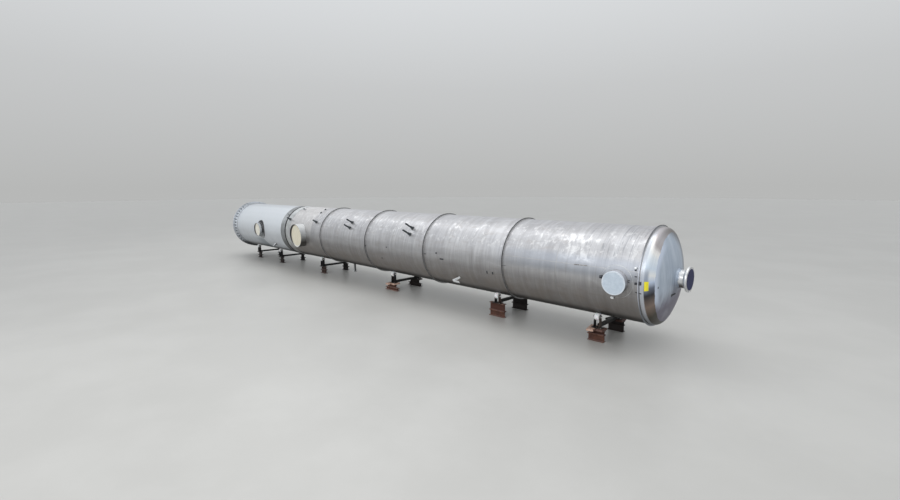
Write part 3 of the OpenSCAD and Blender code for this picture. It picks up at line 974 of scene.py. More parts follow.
@dataclass(frozen=True)
class NeckPlate(Finish):
    """A neck's plate: painted light on top, painted shade on its lower side and inside."""

    name: str = "neck_plate"
    centre: Opening = COLUMN.side
    radius: float = COLUMN.side_r
    plate: Colour = (0.46, 0.47, 0.475)
    top: Colour = (0.60, 0.61, 0.61)
    low: Colour = (0.085, 0.078, 0.068)

    def material(self) -> Material:
        """Painted light and shade read from the face's direction; the painted shade inside from
        the distance to the centre.
        """
        g = Graph(self.name)
        height = self.radius * 2.4 * math.sin(math.radians(self.centre.azimuth))
        dx, _, away = g.off(self.centre.x, height)
        cloud = g.cloud(5.0, detail=5.0, rough=0.65)
        lines = g.streaks(8.0, 60.0, 8.0, detail=3.0)
        colour = g.mix(g.band(cloud, 0.3, 0.68), tuple(0.84 * v for v in self.plate), self.plate)
        # Painted light on faces that look up, painted shade on faces that look down.
        turn = g.plus(g.normal()[2], g.sway(cloud, 0.3))
        colour = g.over(colour, self.top, g.band(turn, 0.5, 1.0))
        colour = g.over(colour, self.low, g.band(turn, 0.05, -0.55), 0.93)
        # Painted shade inside the neck.
        inside = g.times(g.band(away, self.radius - 0.004, self.radius - 0.012),
                         g.band(dx, 0.1, -0.15))
        colour = g.over(colour, (0.035, 0.035, 0.04), inside)
        rough = g.plus(0.4, g.times(cloud, 0.2))
        return g.finish(colour, rough, 0.6, g.bump(lines, 0.0004))


@dataclass(frozen=True)
class Fitting(Finish):
    """Nozzles, lugs and clips: weathered steel, dark away from the light, some left bright."""

    name: str = "fitting_steel"
    light: Colour = (0.27, 0.31, 0.34)
    dark: Colour = (0.07, 0.08, 0.09)
    bright: float = 0.0

    def material(self) -> Material:
        """Cloudy steel with painted shade on faces that look along +X; pieces before x = bright
        are pale.
        """
        g = Graph(self.name)
        x, _, z = g.axes()
        cloud = g.cloud(14.0, detail=5.0, rough=0.65)
        colour = g.mix(g.band(cloud, 0.3, 0.68), self.dark, self.light)
        kept = g.band(x, self.bright + 0.05, self.bright - 0.05)
        colour = g.over(colour, (0.93, 0.95, 0.97), kept)
        # The drain below the column: painted light along its neck, which lies in the column's
        # shade, and a white end cover.
        colour = g.over(colour, (0.74, 0.74, 0.73), g.band(z, -1.26, -1.3))
        colour = g.over(colour, (0.88, 0.89, 0.90), g.band(z, -1.5, -1.56))
        # Painted shade on faces that look along +X, weaker on the pale pieces.
        side = g.minus(g.normal()[0], g.times(kept, 0.3))
        colour = g.over(colour, (0.04, 0.045, 0.05), g.band(side, 0.2, 0.6), 0.9)
        rough = g.plus(0.36, g.times(cloud, 0.2))
        return g.finish(colour, rough, 0.35, g.bump(cloud, 0.0006))


@dataclass(frozen=True)
class RingPlate(Finish):
    """Stiffening rings: brushed plate with painted shade along the outer edge; the last ring is
    painted light above and painted shade below.
    """

    name: str = "ring_plate"
    light: Colour = (0.50, 0.505, 0.51)
    dark: Colour = (0.075, 0.075, 0.08)
    rim: float = COLUMN.radius + COLUMN.ring_height

    def material(self) -> Material:
        """The painted shade at the edge is read from the distance to the axis."""
        g = Graph(self.name)
        x, _, z = g.axes()
        cloud = g.cloud(8.0, detail=5.0, rough=0.65)
        lines = g.streaks(60.0, 4.0, 4.0, detail=3.0)
        colour = g.mix(g.band(cloud, 0.3, 0.7), (0.33, 0.33, 0.33), self.light)
        # The last ring: painted light on its upper part, painted shade below.
        last = g.times(g.band(x, 24.2, 24.4), g.band(z, 1.0, 0.3, 0.35, 1.0))
        light = g.mix(g.band(z, -0.1, -0.9), (0.66, 0.69, 0.76), (0.27, 0.285, 0.31))
        colour = g.over(colour, light, last)
        # Painted shade along the outer edge of the rings, left off the last ring and weaker low
        # down.
        edge = g.band(g.away(), self.rim - 0.022, self.rim - 0.012)
        edge = g.times(edge, g.band(last, 0.2, 0.9, 1.0, 0.0), g.band(z, -0.9, 0.4, 0.6, 1.0))
        colour = g.over(colour, self.dark, edge, g.band(cloud, 0.25, 0.5, 0.75, 1.0))
        rough = g.plus(0.4, g.times(cloud, 0.15))
        return g.finish(colour, rough, 0.7, g.bump(lines, 0.0005))


@dataclass(frozen=True)
class PolishedHead(Finish):
    """Polished stainless of the dished head, with rings left by the buffing wheel under painted
    reflections.
    """

    name: str = "polished_head"
    # Painted reflections and painted shade by azimuth round the knuckle.
    painted_reflections: tuple[tuple[float, Colour], ...] = (
        (-90.0, (0.04, 0.035, 0.03)), (-48.0, (0.075, 0.067, 0.052)), (-30.0, (0.27, 0.205, 0.17)),
        (-15.0, (0.05, 0.048, 0.055)), (-6.0, (0.20, 0.225, 0.29)), (2.0, (0.62, 0.72, 0.90)),
        (9.0, (0.97, 0.99, 1.0)), (18.0, (0.76, 0.87, 1.0)), (30.0, (0.88, 0.94, 1.0)),
        (42.0, (1.0, 0.99, 0.965)), (52.0, (0.90, 0.87, 0.865)), (60.0, (0.55, 0.51, 0.51)),
        (72.0, (0.54, 0.515, 0.53)),
        (110.0, (0.20, 0.18, 0.17)), (180.0, (0.04, 0.035, 0.03)))

    def material(self) -> Material:
        """Buffing rings read from the distance to the axis over painted reflections and painted
        shade read from the azimuth.
        """
        g = Graph(self.name)
        x, _, z = g.axes()
        away = g.away()
        join = g.tree.nodes.new("ShaderNodeCombineXYZ")
        g.feed(join.inputs[0], g.times(away, 90.0))
        g.feed(join.inputs[1], g.times(z, 0.8))
        g.feed(join.inputs[2], g.times(x, 40.0))
        rings = g.noise(join.outputs[0], detail=4.0, rough=0.6)
        cloud = g.cloud(3.0, detail=4.0, rough=0.5)
        turn = g.plus(g.azimuth(), g.sway(cloud, 5.0))
        inner = g.band(away, 1.235, 1.19)
        turn = g.plus(turn, g.times(inner, g.band(turn, 30.0, 44.0), 12.0))
        tint = g.ramp(turn, self.painted_reflections)
        # Painted reflection: a dark blue streak on the knuckle.
        streak = g.times(g.within(turn, -4.0, 9.0, 11.0), g.band(away, 1.15, 1.21), 0.75)
        colour = g.mix(streak, tint, (0.27, 0.325, 0.43))
        # Painted highlight on the head's straight flange.
        flange = g.times(g.band(x, 24.70, 24.68), g.band(turn, -70.0, -30.0, 0.35, 1.0),
                         g.band(turn, 80.0, 50.0))
        colour = g.over(colour, (0.66, 0.70, 0.77), flange, 0.8)
        colour = g.over(colour, (0.20, 0.20, 0.21), g.band(rings, 0.45, 0.3), 0.3)
        rough = g.plus(0.27, g.times(cloud, 0.1))
        metal = g.minus(0.8, g.times(g.within(turn, 2.0, 50.0, 8.0), 0.45))
        sheet = g.bump(g.cloud(1.8, detail=1.0), 0.003)
        return g.finish(colour, rough, metal, g.bump(rings, 0.0002, sheet))


@dataclass(frozen=True)
class HeadFilm(Finish):
    """Thin matte film on the crown, with soft folds and handling smears."""

    name: str = "head_film"
    film: Colour = (0.41, 0.475, 0.565)
    pale: Colour = (0.52, 0.585, 0.67)
    edge: Colour = (0.62, 0.69, 0.82)
    low: Colour = (0.185, 0.175, 0.22)

    def material(self) -> Material:
        """Upright smears over a bluish grey, pale at the near edge, purplish below, with painted
        shade towards the far side.
        """
        g = Graph(self.name)
        _, y, z = g.axes()
        smear = g.streaks(1.0, 8.0, 1.2, detail=5.0, rough=0.6, warp=0.4)
        cloud = g.cloud(2.0, detail=4.0)
        colour = g.mix(g.band(smear, 0.34, 0.7), self.film, self.pale)
        drift = g.plus(z, g.sway(smear, 0.5))
        drift = g.minus(drift, g.times(g.plus(y, 0.5), 0.35))
        colour = g.over(colour, self.low, g.band(drift, -0.05, -0.75))
        colour = g.over(colour, self.edge, g.band(g.away(), 0.84, 0.97), g.band(y, -0.35, -0.7),
                        g.band(z, -0.75, -0.3))
        colour = g.over(colour, (0.60, 0.63, 0.68), g.band(cloud, 0.56, 0.75), 0.2)
        # Painted shade towards the far side of the crown.
        rise = g.larger(g.minus(z, 0.55), 0.0)
        far = g.plus(y, g.times(rise, rise, 1.6))
        far = g.times(g.band(far, 0.15, 0.85), g.band(z, -0.8, 0.35), 0.85)
        colour = g.over(colour, (0.13, 0.128, 0.13), far)
        tick = g.times(g.within(y, -0.895, -0.865, 0.006), g.within(z, -0.145, -0.10, 0.006))
        colour = g.over(colour, (0.05, 0.05, 0.08), tick, 0.7)
        rough = g.plus(0.42, g.times(cloud, 0.2))
        crease = g.streaks(2.0, 30.0, 5.0, detail=3.0, rough=0.6)
        return g.finish(colour, rough, 0.3, g.bump(crease, 0.0006, g.bump(smear, 0.003)))


@dataclass(frozen=True)
class TurnedSteel(Finish):
    """Bright turned steel with tool rings."""

    name: str = "turned_steel"
    light: Colour = (0.86, 0.865, 0.875)
    dark: Colour = (0.66, 0.665, 0.675)
    rough: float = 0.28

    def material(self) -> Material:
        """Rings read from the distance to the axis; the neck's lower side has painted shade."""
        g = Graph(self.name)
        x, _, z = g.axes()
        rings = g.calc("MULTIPLY_ADD", g.calc("SINE", g.times(g.away(), 2600.0)), 0.5)
        cloud = g.cloud(11.0, detail=5.0, rough=0.6)
        lines = g.streaks(120.0, 6.0, 6.0, detail=3.0)
        colour = g.mix(g.band(cloud, 0.3, 0.7), self.dark, self.light)
        # Painted shade on the lower side of the vapour nozzle's neck.
        neck = g.times(g.band(z, -0.03, -0.17), g.within(x, 24.0, 25.21, 0.02), 0.93)
        colour = g.over(colour, (0.07, 0.06, 0.055), neck)
        rough = g.plus(self.rough, g.times(cloud, 0.16))
        soft = g.bump(lines, 0.0003)
        return g.finish(colour, rough, 0.9, g.bump(rings, 0.00006, soft))


@dataclass(frozen=True)
class WeldMetal(Finish):
    """Weld beads with heat tint at their toes."""

    name: str = "weld_metal"
    light: Colour = (0.52, 0.515, 0.51)
    dark: Colour = (0.20, 0.19, 0.185)

    def material(self) -> Material:
        """Mottled tint and coarse ripples."""
        g = Graph(self.name)
        cloud = g.cloud(17.0, detail=5.0, rough=0.7)
        ripple = g.cloud(160.0, detail=2.0)
        colour = g.mix(g.band(cloud, 0.35, 0.68), self.dark, self.light)
        rough = g.plus(0.34, g.times(cloud, 0.25))
        return g.finish(colour, rough, 0.85, g.bump(ripple, 0.0012))


@dataclass(frozen=True)
class Plywood(Finish):
    """Cream board with upright grain, a painted shadow under the upper left rim and a painted
    highlight at the lower.
    """

    name: str = "plywood"
    pale: Colour = (0.90, 0.85, 0.70)
    tan: Colour = (0.76, 0.69, 0.52)
    centre: Opening = COLUMN.side
    radius: float = COLUMN.side_r
    rim: float = 0.09

    def material(self) -> Material:
        """Grain stretched upright; the painted shadow and highlight are read from the place beside
        the centre.
        """
        g = Graph(self.name)
        grain = g.streaks(34.0, 1.0, 1.6, detail=6.0, rough=0.62, warp=1.1)
        pores = g.streaks(420.0, 1.0, 12.0, detail=3.0)
        cloud = g.cloud(5.0, detail=4.0)
        colour = g.mix(g.band(grain, 0.42, 0.7), self.pale, self.tan)
        colour = g.over(colour, (0.84, 0.86, 0.76), g.band(cloud, 0.5, 0.75), 0.35)
        colour = g.over(colour, (0.50, 0.40, 0.27), g.band(pores, 0.56, 0.7), 0.2)
        height = self.radius * 2.4 * math.sin(math.radians(self.centre.azimuth))
        dx, dz, away = g.off(self.centre.x, height)
        # Painted highlight along the lower left rim.
        light = g.times(g.band(away, self.radius * 0.86, self.radius * 0.93),
                        g.band(g.plus(g.times(dz, -0.9), g.times(dx, -0.3)), 0.02, 0.2))
        colour = g.over(colour, (0.97, 0.97, 0.96), light, 0.9)
        # Painted shadow under the upper left rim.
        lx, lz = g.minus(dx, self.rim * 0.85), g.plus(dz, self.rim * 0.4)
        inner = g.length(lx, lz)
        shadow = g.band(inner, self.radius - 0.03, self.radius + 0.02)
        colour = g.over(colour, (0.05, 0.045, 0.04), shadow, 0.93)
        rough = g.plus(0.62, g.times(grain, 0.18))
        return g.finish(colour, rough, 0.0, g.bump(pores, 0.0003, g.bump(grain, 0.0012)))


@dataclass(frozen=True)
class SheetCover(Finish):
    """Pale plastic sheet over the manway, dusty, with fine creases."""

    name: str = "sheet_cover"
    pale: Colour = (0.67, 0.76, 0.86)
    dull: Colour = (0.57, 0.66, 0.76)
    rim: Colour = (0.80, 0.86, 0.93)

    def material(self) -> Material:
        """Creased bump and cloudy dust, with a paler ragged rim read from the cover's centre."""
        g = Graph(self.name)
        c = COLUMN
        cloud = g.cloud(8.0, detail=6.0, rough=0.66)
        crease = g.cloud(26.0, detail=4.0, rough=0.6, warp=0.6)
        colour = g.mix(g.band(cloud, 0.36, 0.7), self.dull, self.pale)
        colour = g.over(colour, (0.86, 0.92, 0.97), g.band(crease, 0.56, 0.72), 0.25)
        out = g.off(c.manway.x, c.manway_reach * math.sin(math.radians(c.manway.azimuth)))[2]
        out = g.plus(out, g.sway(cloud, 0.08))
        colour = g.over(colour, self.rim, g.band(out, 0.25, 0.275), 0.7)
        rough = g.plus(0.4, g.times(cloud, 0.22))
        return g.finish(colour, rough, 0.0, g.bump(crease, 0.002))


@dataclass(frozen=True)
class MouldedPlastic(Finish):
    """Moulded plastic with a light grain, scuffed."""

    name: str = "blue_plastic"
    colour: Colour = (0.010, 0.014, 0.075)
    scuff: Colour = (0.07, 0.08, 0.18)
    rough: float = 0.5
    metal: float = 0.0
    wear: float = 0.5

    def material(self) -> Material:
        """Scuffs where stretched noise peaks."""
        g = Graph(self.name)
        grain = g.cloud(240.0, detail=2.0)
        cloud = g.cloud(9.0, detail=5.0, rough=0.6)
        scratch = g.streaks(60.0, 9.0, 9.0, detail=4.0, rough=0.7, warp=0.5)
        worn = g.times(g.band(scratch, 0.55, 0.72), g.band(cloud, 0.4, 0.65))
        colour = g.mix(g.times(worn, self.wear), self.colour, self.scuff)
        rough = g.plus(self.rough, g.times(worn, 0.25))
        soft = g.bump(cloud, 0.0012)
        return g.finish(colour, rough, self.metal, g.bump(grain, 0.0002, soft),
                        Specular_IOR_Level=0.2)


@dataclass(frozen=True)
class RustySteel(Finish):
    """Rolled steel with mill scale, red rust and rubbed edges, near black towards the base end,
    with painted light on top and painted shade on the webs and the far row.
    """

    name: str = "rusty_steel"
    scale: Colour = (0.075, 0.038, 0.03)
    rust: Colour = (0.19, 0.085, 0.055)
    bright: Colour = (0.36, 0.20, 0.14)
    near_black: Colour = (0.018, 0.016, 0.016)
    web_shade: Colour = (0.072, 0.026, 0.018)
    dust: Colour = (0.50, 0.36, 0.32)

    def material(self) -> Material:
        """Rust clouds over dark scale: painted shade on the webs, dust and painted light on upper
        faces, painted shade on the far stacks.
        """
        g = Graph(self.name)
        x, y, z = g.axes()
        cloud = g.cloud(7.0, detail=6.0, rough=0.66, warp=0.3)
        pits = g.cloud(85.0, detail=4.0, rough=0.7)
        flakes = g.cells(g.place(), 55.0)
        colour = g.mix(g.band(cloud, 0.36, 0.6), self.scale, self.rust)
        colour = g.over(colour, self.bright, g.band(pits, 0.5, 0.68), 0.45)
        colour = g.over(colour, (0.06, 0.03, 0.025), g.band(flakes, 0.22, 0.1), 0.5)
        # Painted shade on the webs under the flanges.
        inner = g.calc("ABSOLUTE", g.minus(g.calc("ABSOLUTE", y), STANDS.y))
        high = g.band(z, STANDS.floor_z + 0.17, STANDS.floor_z + 0.21)
        web = g.times(g.band(inner, 0.072, 0.06), g.band(high, 0.0, 1.0, 0.45, 0.9))
        colour = g.over(colour, self.web_shade, web)
        # Dust and painted light on faces that look up.
        worn = g.times(g.up(), g.band(cloud, 0.25, 0.5, 0.5, 1.0), g.band(x, 16.0, 19.0, 0.7, 0.3))
        colour = g.over(colour, self.dust, worn)
        # Stands before x = 16 turn near black; the far row turns near black as painted shade.
        colour = g.over(colour, self.near_black, g.band(x, 6.0, 16.0, 0.9, 0.0))
        colour = g.over(colour, self.near_black, g.band(y, -0.2, 0.2, 0.0, 0.93))
        rough = g.plus(0.68, g.times(cloud, 0.22))
        return g.finish(colour, rough, 0.1, g.bump(pits, 0.0012, g.bump(cloud, 0.0014)))


@dataclass(frozen=True)
class OldTimber(Finish):
    """Worn plank with long grain, dark cracks and rubbed pale faces, in painted shade on the far
    row.
    """

    name: str = "old_timber"
    pale: Colour = (0.78, 0.56, 0.46)
    dark: Colour = (0.42, 0.245, 0.175)

    def material(self) -> Material:
        """Grain stretched along the plank by its own UV map."""
        g = Graph(self.name)
        uv = g.tree.nodes.new("ShaderNodeUVMap")
        uv.uv_map = "grain"
        scale = g.tree.nodes.new("ShaderNodeMapping")
        scale.inputs["Scale"].default_value = (3.0, 60.0, 1.0)
        g.feed(scale.inputs["Vector"], uv.outputs[0])
        grain = g.noise(scale.outputs[0], detail=6.0, rough=0.65, warp=0.9)
        cloud = g.cloud(9.0, detail=5.0, rough=0.6)
        colour = g.mix(g.band(grain, 0.34, 0.66), self.dark, self.pale)
        colour = g.over(colour, (0.86, 0.72, 0.62), g.band(cloud, 0.5, 0.72), 0.5)
        colour = g.over(colour, (0.10, 0.06, 0.045), g.band(grain, 0.30, 0.24), 0.8)
        x, y, _ = g.axes()
        # Painted shade: planks of the far row are near black.
        colour = g.over(colour, (0.02, 0.018, 0.016), g.band(y, -0.2, 0.2, 0.0, 0.985))
        colour = g.over(colour, (0.09, 0.04, 0.033), g.band(x, 23.29, 23.31), 0.9)
        return g.finish(colour, g.plus(0.66, g.times(grain, 0.2)), 0.0, g.bump(grain, 0.003))


@dataclass(frozen=True)
class ChippedPaint(Finish):
    """Dark paint on the cradles, dusty on top, rusting where it is chipped, in painted shade on
    the far row.
    """

    name: str = "chipped_paint"
    paint: Colour = (0.016, 0.016, 0.018)
    rust: Colour = (0.12, 0.055, 0.035)
    brown: Colour = (0.085, 0.058, 0.046)
    dust: Colour = (0.075, 0.065, 0.058)

    def material(self) -> Material:
        """Chips where cell noise and cloud meet, dust on top, brown cheeks at the near end,
        painted shade on the far row.
        """
        g = Graph(self.name)
        cloud = g.cloud(12.0, detail=6.0, rough=0.68)
        chips = g.cells(g.place(), 38.0)
        x, y, _ = g.axes()
        worn = g.times(g.band(cloud, 0.54, 0.62), g.band(chips, 0.5, 0.3))
        colour = g.mix(worn, self.paint, self.rust)
        cheeks = g.plus(g.within(x, 19.95, 20.4, 0.01), g.within(x, 23.35, 23.8, 0.01))
        cheeks = g.times(cheeks, g.band(y, -0.45, -0.5))
        colour = g.over(colour, self.brown, cheeks, g.band(cloud, 0.3, 0.6, 0.4, 0.85))
        settled = g.times(g.up(), g.band(cloud, 0.3, 0.6), 0.7)
        colour = g.over(colour, self.dust, settled)
        # Painted shade: cradles of the far row are near black.
        colour = g.over(colour, (0.012, 0.012, 0.012), g.band(y, -0.3, 0.3, 0.0, 0.9))
        rough = g.plus(0.55, g.times(worn, 0.3))
        return g.finish(colour, rough, 0.05, g.bump(cloud, 0.0012), Specular_IOR_Level=0.25)


@dataclass(frozen=True)
class Nylon(Finish):
    """White nylon of the rollers, scuffed and grey round the tread."""

    name: str = "roller_nylon"
    white: Colour = (0.97, 0.98, 1.0)
    grey: Colour = (0.82, 0.83, 0.85)

    def material(self) -> Material:
        """Rolling marks run round the roller because noise is stretched along X."""
        g = Graph(self.name)
        marks = g.streaks(90.0, 5.0, 5.0, detail=4.0, rough=0.6)
        cloud = g.cloud(14.0, detail=5.0, rough=0.6)
        colour = g.mix(g.band(marks, 0.5, 0.74), self.white, self.grey)
        colour = g.over(colour, (0.50, 0.47, 0.43), g.band(cloud, 0.6, 0.75), 0.4)
        return g.finish(colour, g.plus(0.34, g.times(cloud, 0.25)), 0.0,
                        g.bump(marks, 0.0006), Subsurface_Weight=0.05)


@dataclass(frozen=True)
class Tag(Finish):
    """Blank yellow tag, slightly soiled."""

    name: str = "yellow_tag"
    yellow: Colour = (1.0, 0.88, 0.03)

    def material(self) -> Material:
        """Soft soiling and a faint crease."""
        g = Graph(self.name)
        cloud = g.cloud(30.0, detail=5.0, rough=0.6)
        colour = g.mix(g.times(g.band(cloud, 0.56, 0.72), 0.35), self.yellow,
                       (0.50, 0.41, 0.05))
        return g.finish(colour, 0.4, 0.0, g.bump(cloud, 0.001), Coat_Weight=0.2)


@dataclass
class Paints:
    """Every material of the part, made once."""

    shell: Material = field(default_factory=BrushedShell().material)
    skirt: Material = field(default_factory=CoatedSkirt().material)
    dull_band: Material = field(default_factory=BandPlate(
        "dull_band", (0.60, 0.625, 0.65), (0.42, 0.44, 0.45), 0.42, 0.7, 40.0,
        ((-1.25, 0.04), (-1.08, 0.08), (-0.884, 0.34), (-0.625, 0.33), (-0.32, 0.54), (0.0, 0.64),
         (0.32, 0.78), (0.625, 1.0), (0.884, 0.84), (1.08, 0.53), (1.25, 0.52))).material)
    light_band: Material = field(default_factory=BandPlate(
        "light_band", (0.72, 0.74, 0.75), (0.50, 0.515, 0.52)).material)
    access: Material = field(default_factory=OpeningPlate().material)
    neck: Material = field(default_factory=NeckPlate().material)
    # The manway's neck: painted light on top and painted shade below.
    manway: Material = field(default_factory=NeckPlate(
        "manway_plate", COLUMN.manway, 0.2, (0.52, 0.53, 0.57), (0.62, 0.63, 0.67),
        (0.11, 0.105, 0.11)).material)
    nozzle: Material = field(default_factory=Fitting(
        "nozzle_steel", bright=5.5).material)
    pale: Material = field(default_factory=Fitting(
        "pale_steel", bright=99.0).material)
    lug: Material = field(default_factory=Fitting(
        "lug_steel", (0.62, 0.66, 0.69), (0.36, 0.39, 0.41)).material)
    gusset: Material = field(default_factory=CoatedSkirt(
        "gusset_coat", (0.84, 0.88, 0.93), (0.70, 0.73, 0.78)).material)
    ring: Material = field(default_factory=RingPlate().material)
    seam: Material = field(default_factory=BandPlate(
        "ground_seam", (0.64, 0.64, 0.65), (0.46, 0.46, 0.465), 0.4, 0.85, 40.0,
        BrushedShell().shade).material)
    fitting: Material = field(default_factory=Fitting(
        "cleat_steel", (0.07, 0.075, 0.09), (0.02, 0.02, 0.025)).material)
    head: Material = field(default_factory=PolishedHead().material)
    film: Material = field(default_factory=HeadFilm().material)
    turned: Material = field(default_factory=TurnedSteel().material)
    shaft: Material = field(default_factory=TurnedSteel(
        "shaft_steel", (0.46, 0.46, 0.455), (0.24, 0.235, 0.23), 0.34).material)
    weld: Material = field(default_factory=WeldMetal().material)
    side_board: Material = field(default_factory=Plywood().material)
    access_board: Material = field(default_factory=Plywood(
        "plywood_small", (1.0, 0.97, 0.87), (0.96, 0.91, 0.78), COLUMN.access,
        COLUMN.access_r, 0.055).material)
    sheet: Material = field(default_factory=SheetCover().material)
    blue: Material = field(default_factory=MouldedPlastic().material)
    rust: Material = field(default_factory=RustySteel().material)
    timber: Material = field(default_factory=OldTimber().material)
    cradle: Material = field(default_factory=ChippedPaint().material)
    nylon: Material = field(default_factory=Nylon().material)
    tag: Material = field(default_factory=Tag().material)


# The part's own nodes


@dataclass
class PackedNodes:
    """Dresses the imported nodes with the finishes."""

    nodes: dict[str, bpy.types.Object]
    paints: Paints

    def plan(self) -> dict[str, Material]:
        """Which material each node takes."""
        p = self.paints
        plan = {name: p.shell for name in self.nodes}
        plan.update({n: p.skirt for n in ("skirt", "base_ring", "compression_ring")})
        plan.update(access_neck=p.access, access_pad=p.access, chair_gussets=p.gusset)
        plan.update(skirt_collar=p.dull_band, shell_collar=p.light_band, stiffening_rings=p.ring,
                    small_nozzles=p.nozzle, lifting_lugs=p.lug, ring_clips=p.ring,
                    side_nozzle=p.neck, manway_neck=p.manway, manway_pad=p.shell,
                    access_board=p.access_board, side_board=p.side_board, manway_cover=p.sheet,
                    top_head=p.head, vapour_nozzle=p.turned, vapour_cover=p.blue,
                    lower_beams=p.rust, upper_beams=p.rust, timbers=p.rust, cradles=p.cradle,
                    roller_shafts=p.turned)
        plan.update({n: p.nylon for n in self.nodes if n.startswith("roller_")
                     and n != "roller_shafts"})
        return plan

    def dress(self) -> None:
        """Gives every node its one material."""
        for name, material in self.plan().items():
            mesh = self.nodes[name].data
            mesh.materials.clear()
            mesh.materials.append(material)
        LOG.info("dressed %d nodes", len(self.nodes))


# Welds


@dataclass
class Welds:
    """Weld beads of rings, collars, necks, pads and plates."""

    paints: Paints
    toe: float = 0.005
    seam_wide: float = 0.009
    seam_high: float = 0.0022
    plate_seams: tuple[tuple[float, float, float], ...] = (
        (6.78, 10.115, 128.0), (10.135, 13.59, 66.0), (13.61, 17.065, 142.0),
        (17.085, 20.54, 78.0), (20.56, 24.56, 11.5))

    def rings(self) -> None:
        """A fillet on either face of each stiffening ring."""
        patches = []
        for x in COLUMN.rings:
            for side in (-1, 1):
                patches.append(ring_bead(x + side * (COLUMN.ring_half + 0.003), COLUMN.radius,
                                         self.toe, self.toe))
        build_piece("ring_welds", patches, self.paints.seam)

    def collars(self) -> None:
        """Beads along the collars' edges and the head's round seam."""
        patches = []
        for x in (COLUMN.collars[0], COLUMN.collars[3]):
            patches.append(ring_bead(x, COLUMN.radius + 0.004, 0.007, 0.006, 0.1))
        for x in (COLUMN.tangent - 0.04, 8.9, 12.0, 15.3, 18.8, 22.35):
            patches.append(ring_bead(x, COLUMN.radius, self.seam_wide, self.seam_high, 0.15))
        build_piece("round_seams", patches, self.paints.seam)

    def seams(self) -> None:
        """The long seam of each shell plate."""
        patches = []
        for start, end, azimuth in self.plate_seams:
            x = np.linspace(start, end, 240)
            place = Opening(0.0, azimuth)
            path = place.at(x, np.zeros(240), np.full(240, COLUMN.radius))
            out = np.tile(place.frame()[2], (240, 1))
            patches.append(bead(path, out, 0.006, 0.0013, False, 0.15))
        build_piece("long_seams", patches, self.paints.seam)
        x = np.linspace(22.878, 23.245, 60)
        place = Opening(0.0, self.plate_seams[-1][2])
        path = place.at(x, 0.004 * np.sin(x * 9.0), np.full(60, COLUMN.radius + 0.001))
        out = np.tile(place.frame()[2], (60, 1))
        build_piece("bare_weld", [bead(path, out, 0.013, 0.005, False, 0.2)], self.paints.weld)

    def necks(self) -> None:
        """Beads where necks, pads and small nozzles meet the plate."""
        c = COLUMN
        joints = [(c.access, c.access_r, c.pad_top, 0.009, 0.0),
                  (c.access, c.access_pad, c.radius, 0.010, 0.0),
                  (c.side, c.side_r, c.radius, 0.010, 0.0),
                  (c.manway, c.manway_r, c.pad_top, 0.007, 0.0),
                  (c.drain, c.drain_r, c.radius, 0.008, 0.0)]
        joints += [(place, c.small_r, sit, 0.008, aside) for place, aside, sit in c.small]
        patches = []
        for place, r, radius, size, aside in joints:
            path, out = place.saddle(r + size * 0.3, radius, aside)
            patches.append(bead(path, out, size, size, True, 0.12, 8))
        build_piece("neck_welds", patches, self.paints.weld)
        path, out = c.manway.saddle(c.manway_pad, c.radius)
        build_piece("pad_weld", [bead(path, out, 0.012, 0.009, True, 0.12, 8)],
                    self.paints.light_band)

    def flange(self) -> None:
        """Beads round the vapour nozzle, and on the base ring and chairs."""
        c = COLUMN
        root = float(c.crown_x(np.array(c.vapour_r)))
        patches = []
        for x, r, size in ((root + 0.002, c.vapour_r + 0.003, 0.010),
                           (c.vapour_back - 0.06, c.vapour_r, 0.004),
                           (0.044, c.radius + 0.001, 0.008), (0.336, c.radius + 0.002, 0.006),
                           (0.374, c.radius + 0.002, 0.008)):
            patches.append(ring_bead(x, r, size, size))
        build_piece("plate_welds", patches, self.paints.weld)

    def build(self) -> None:
        """Builds every group of beads."""
        self.rings()
        self.collars()
        self.seams()
        self.necks()
        self.flange()


# Top head


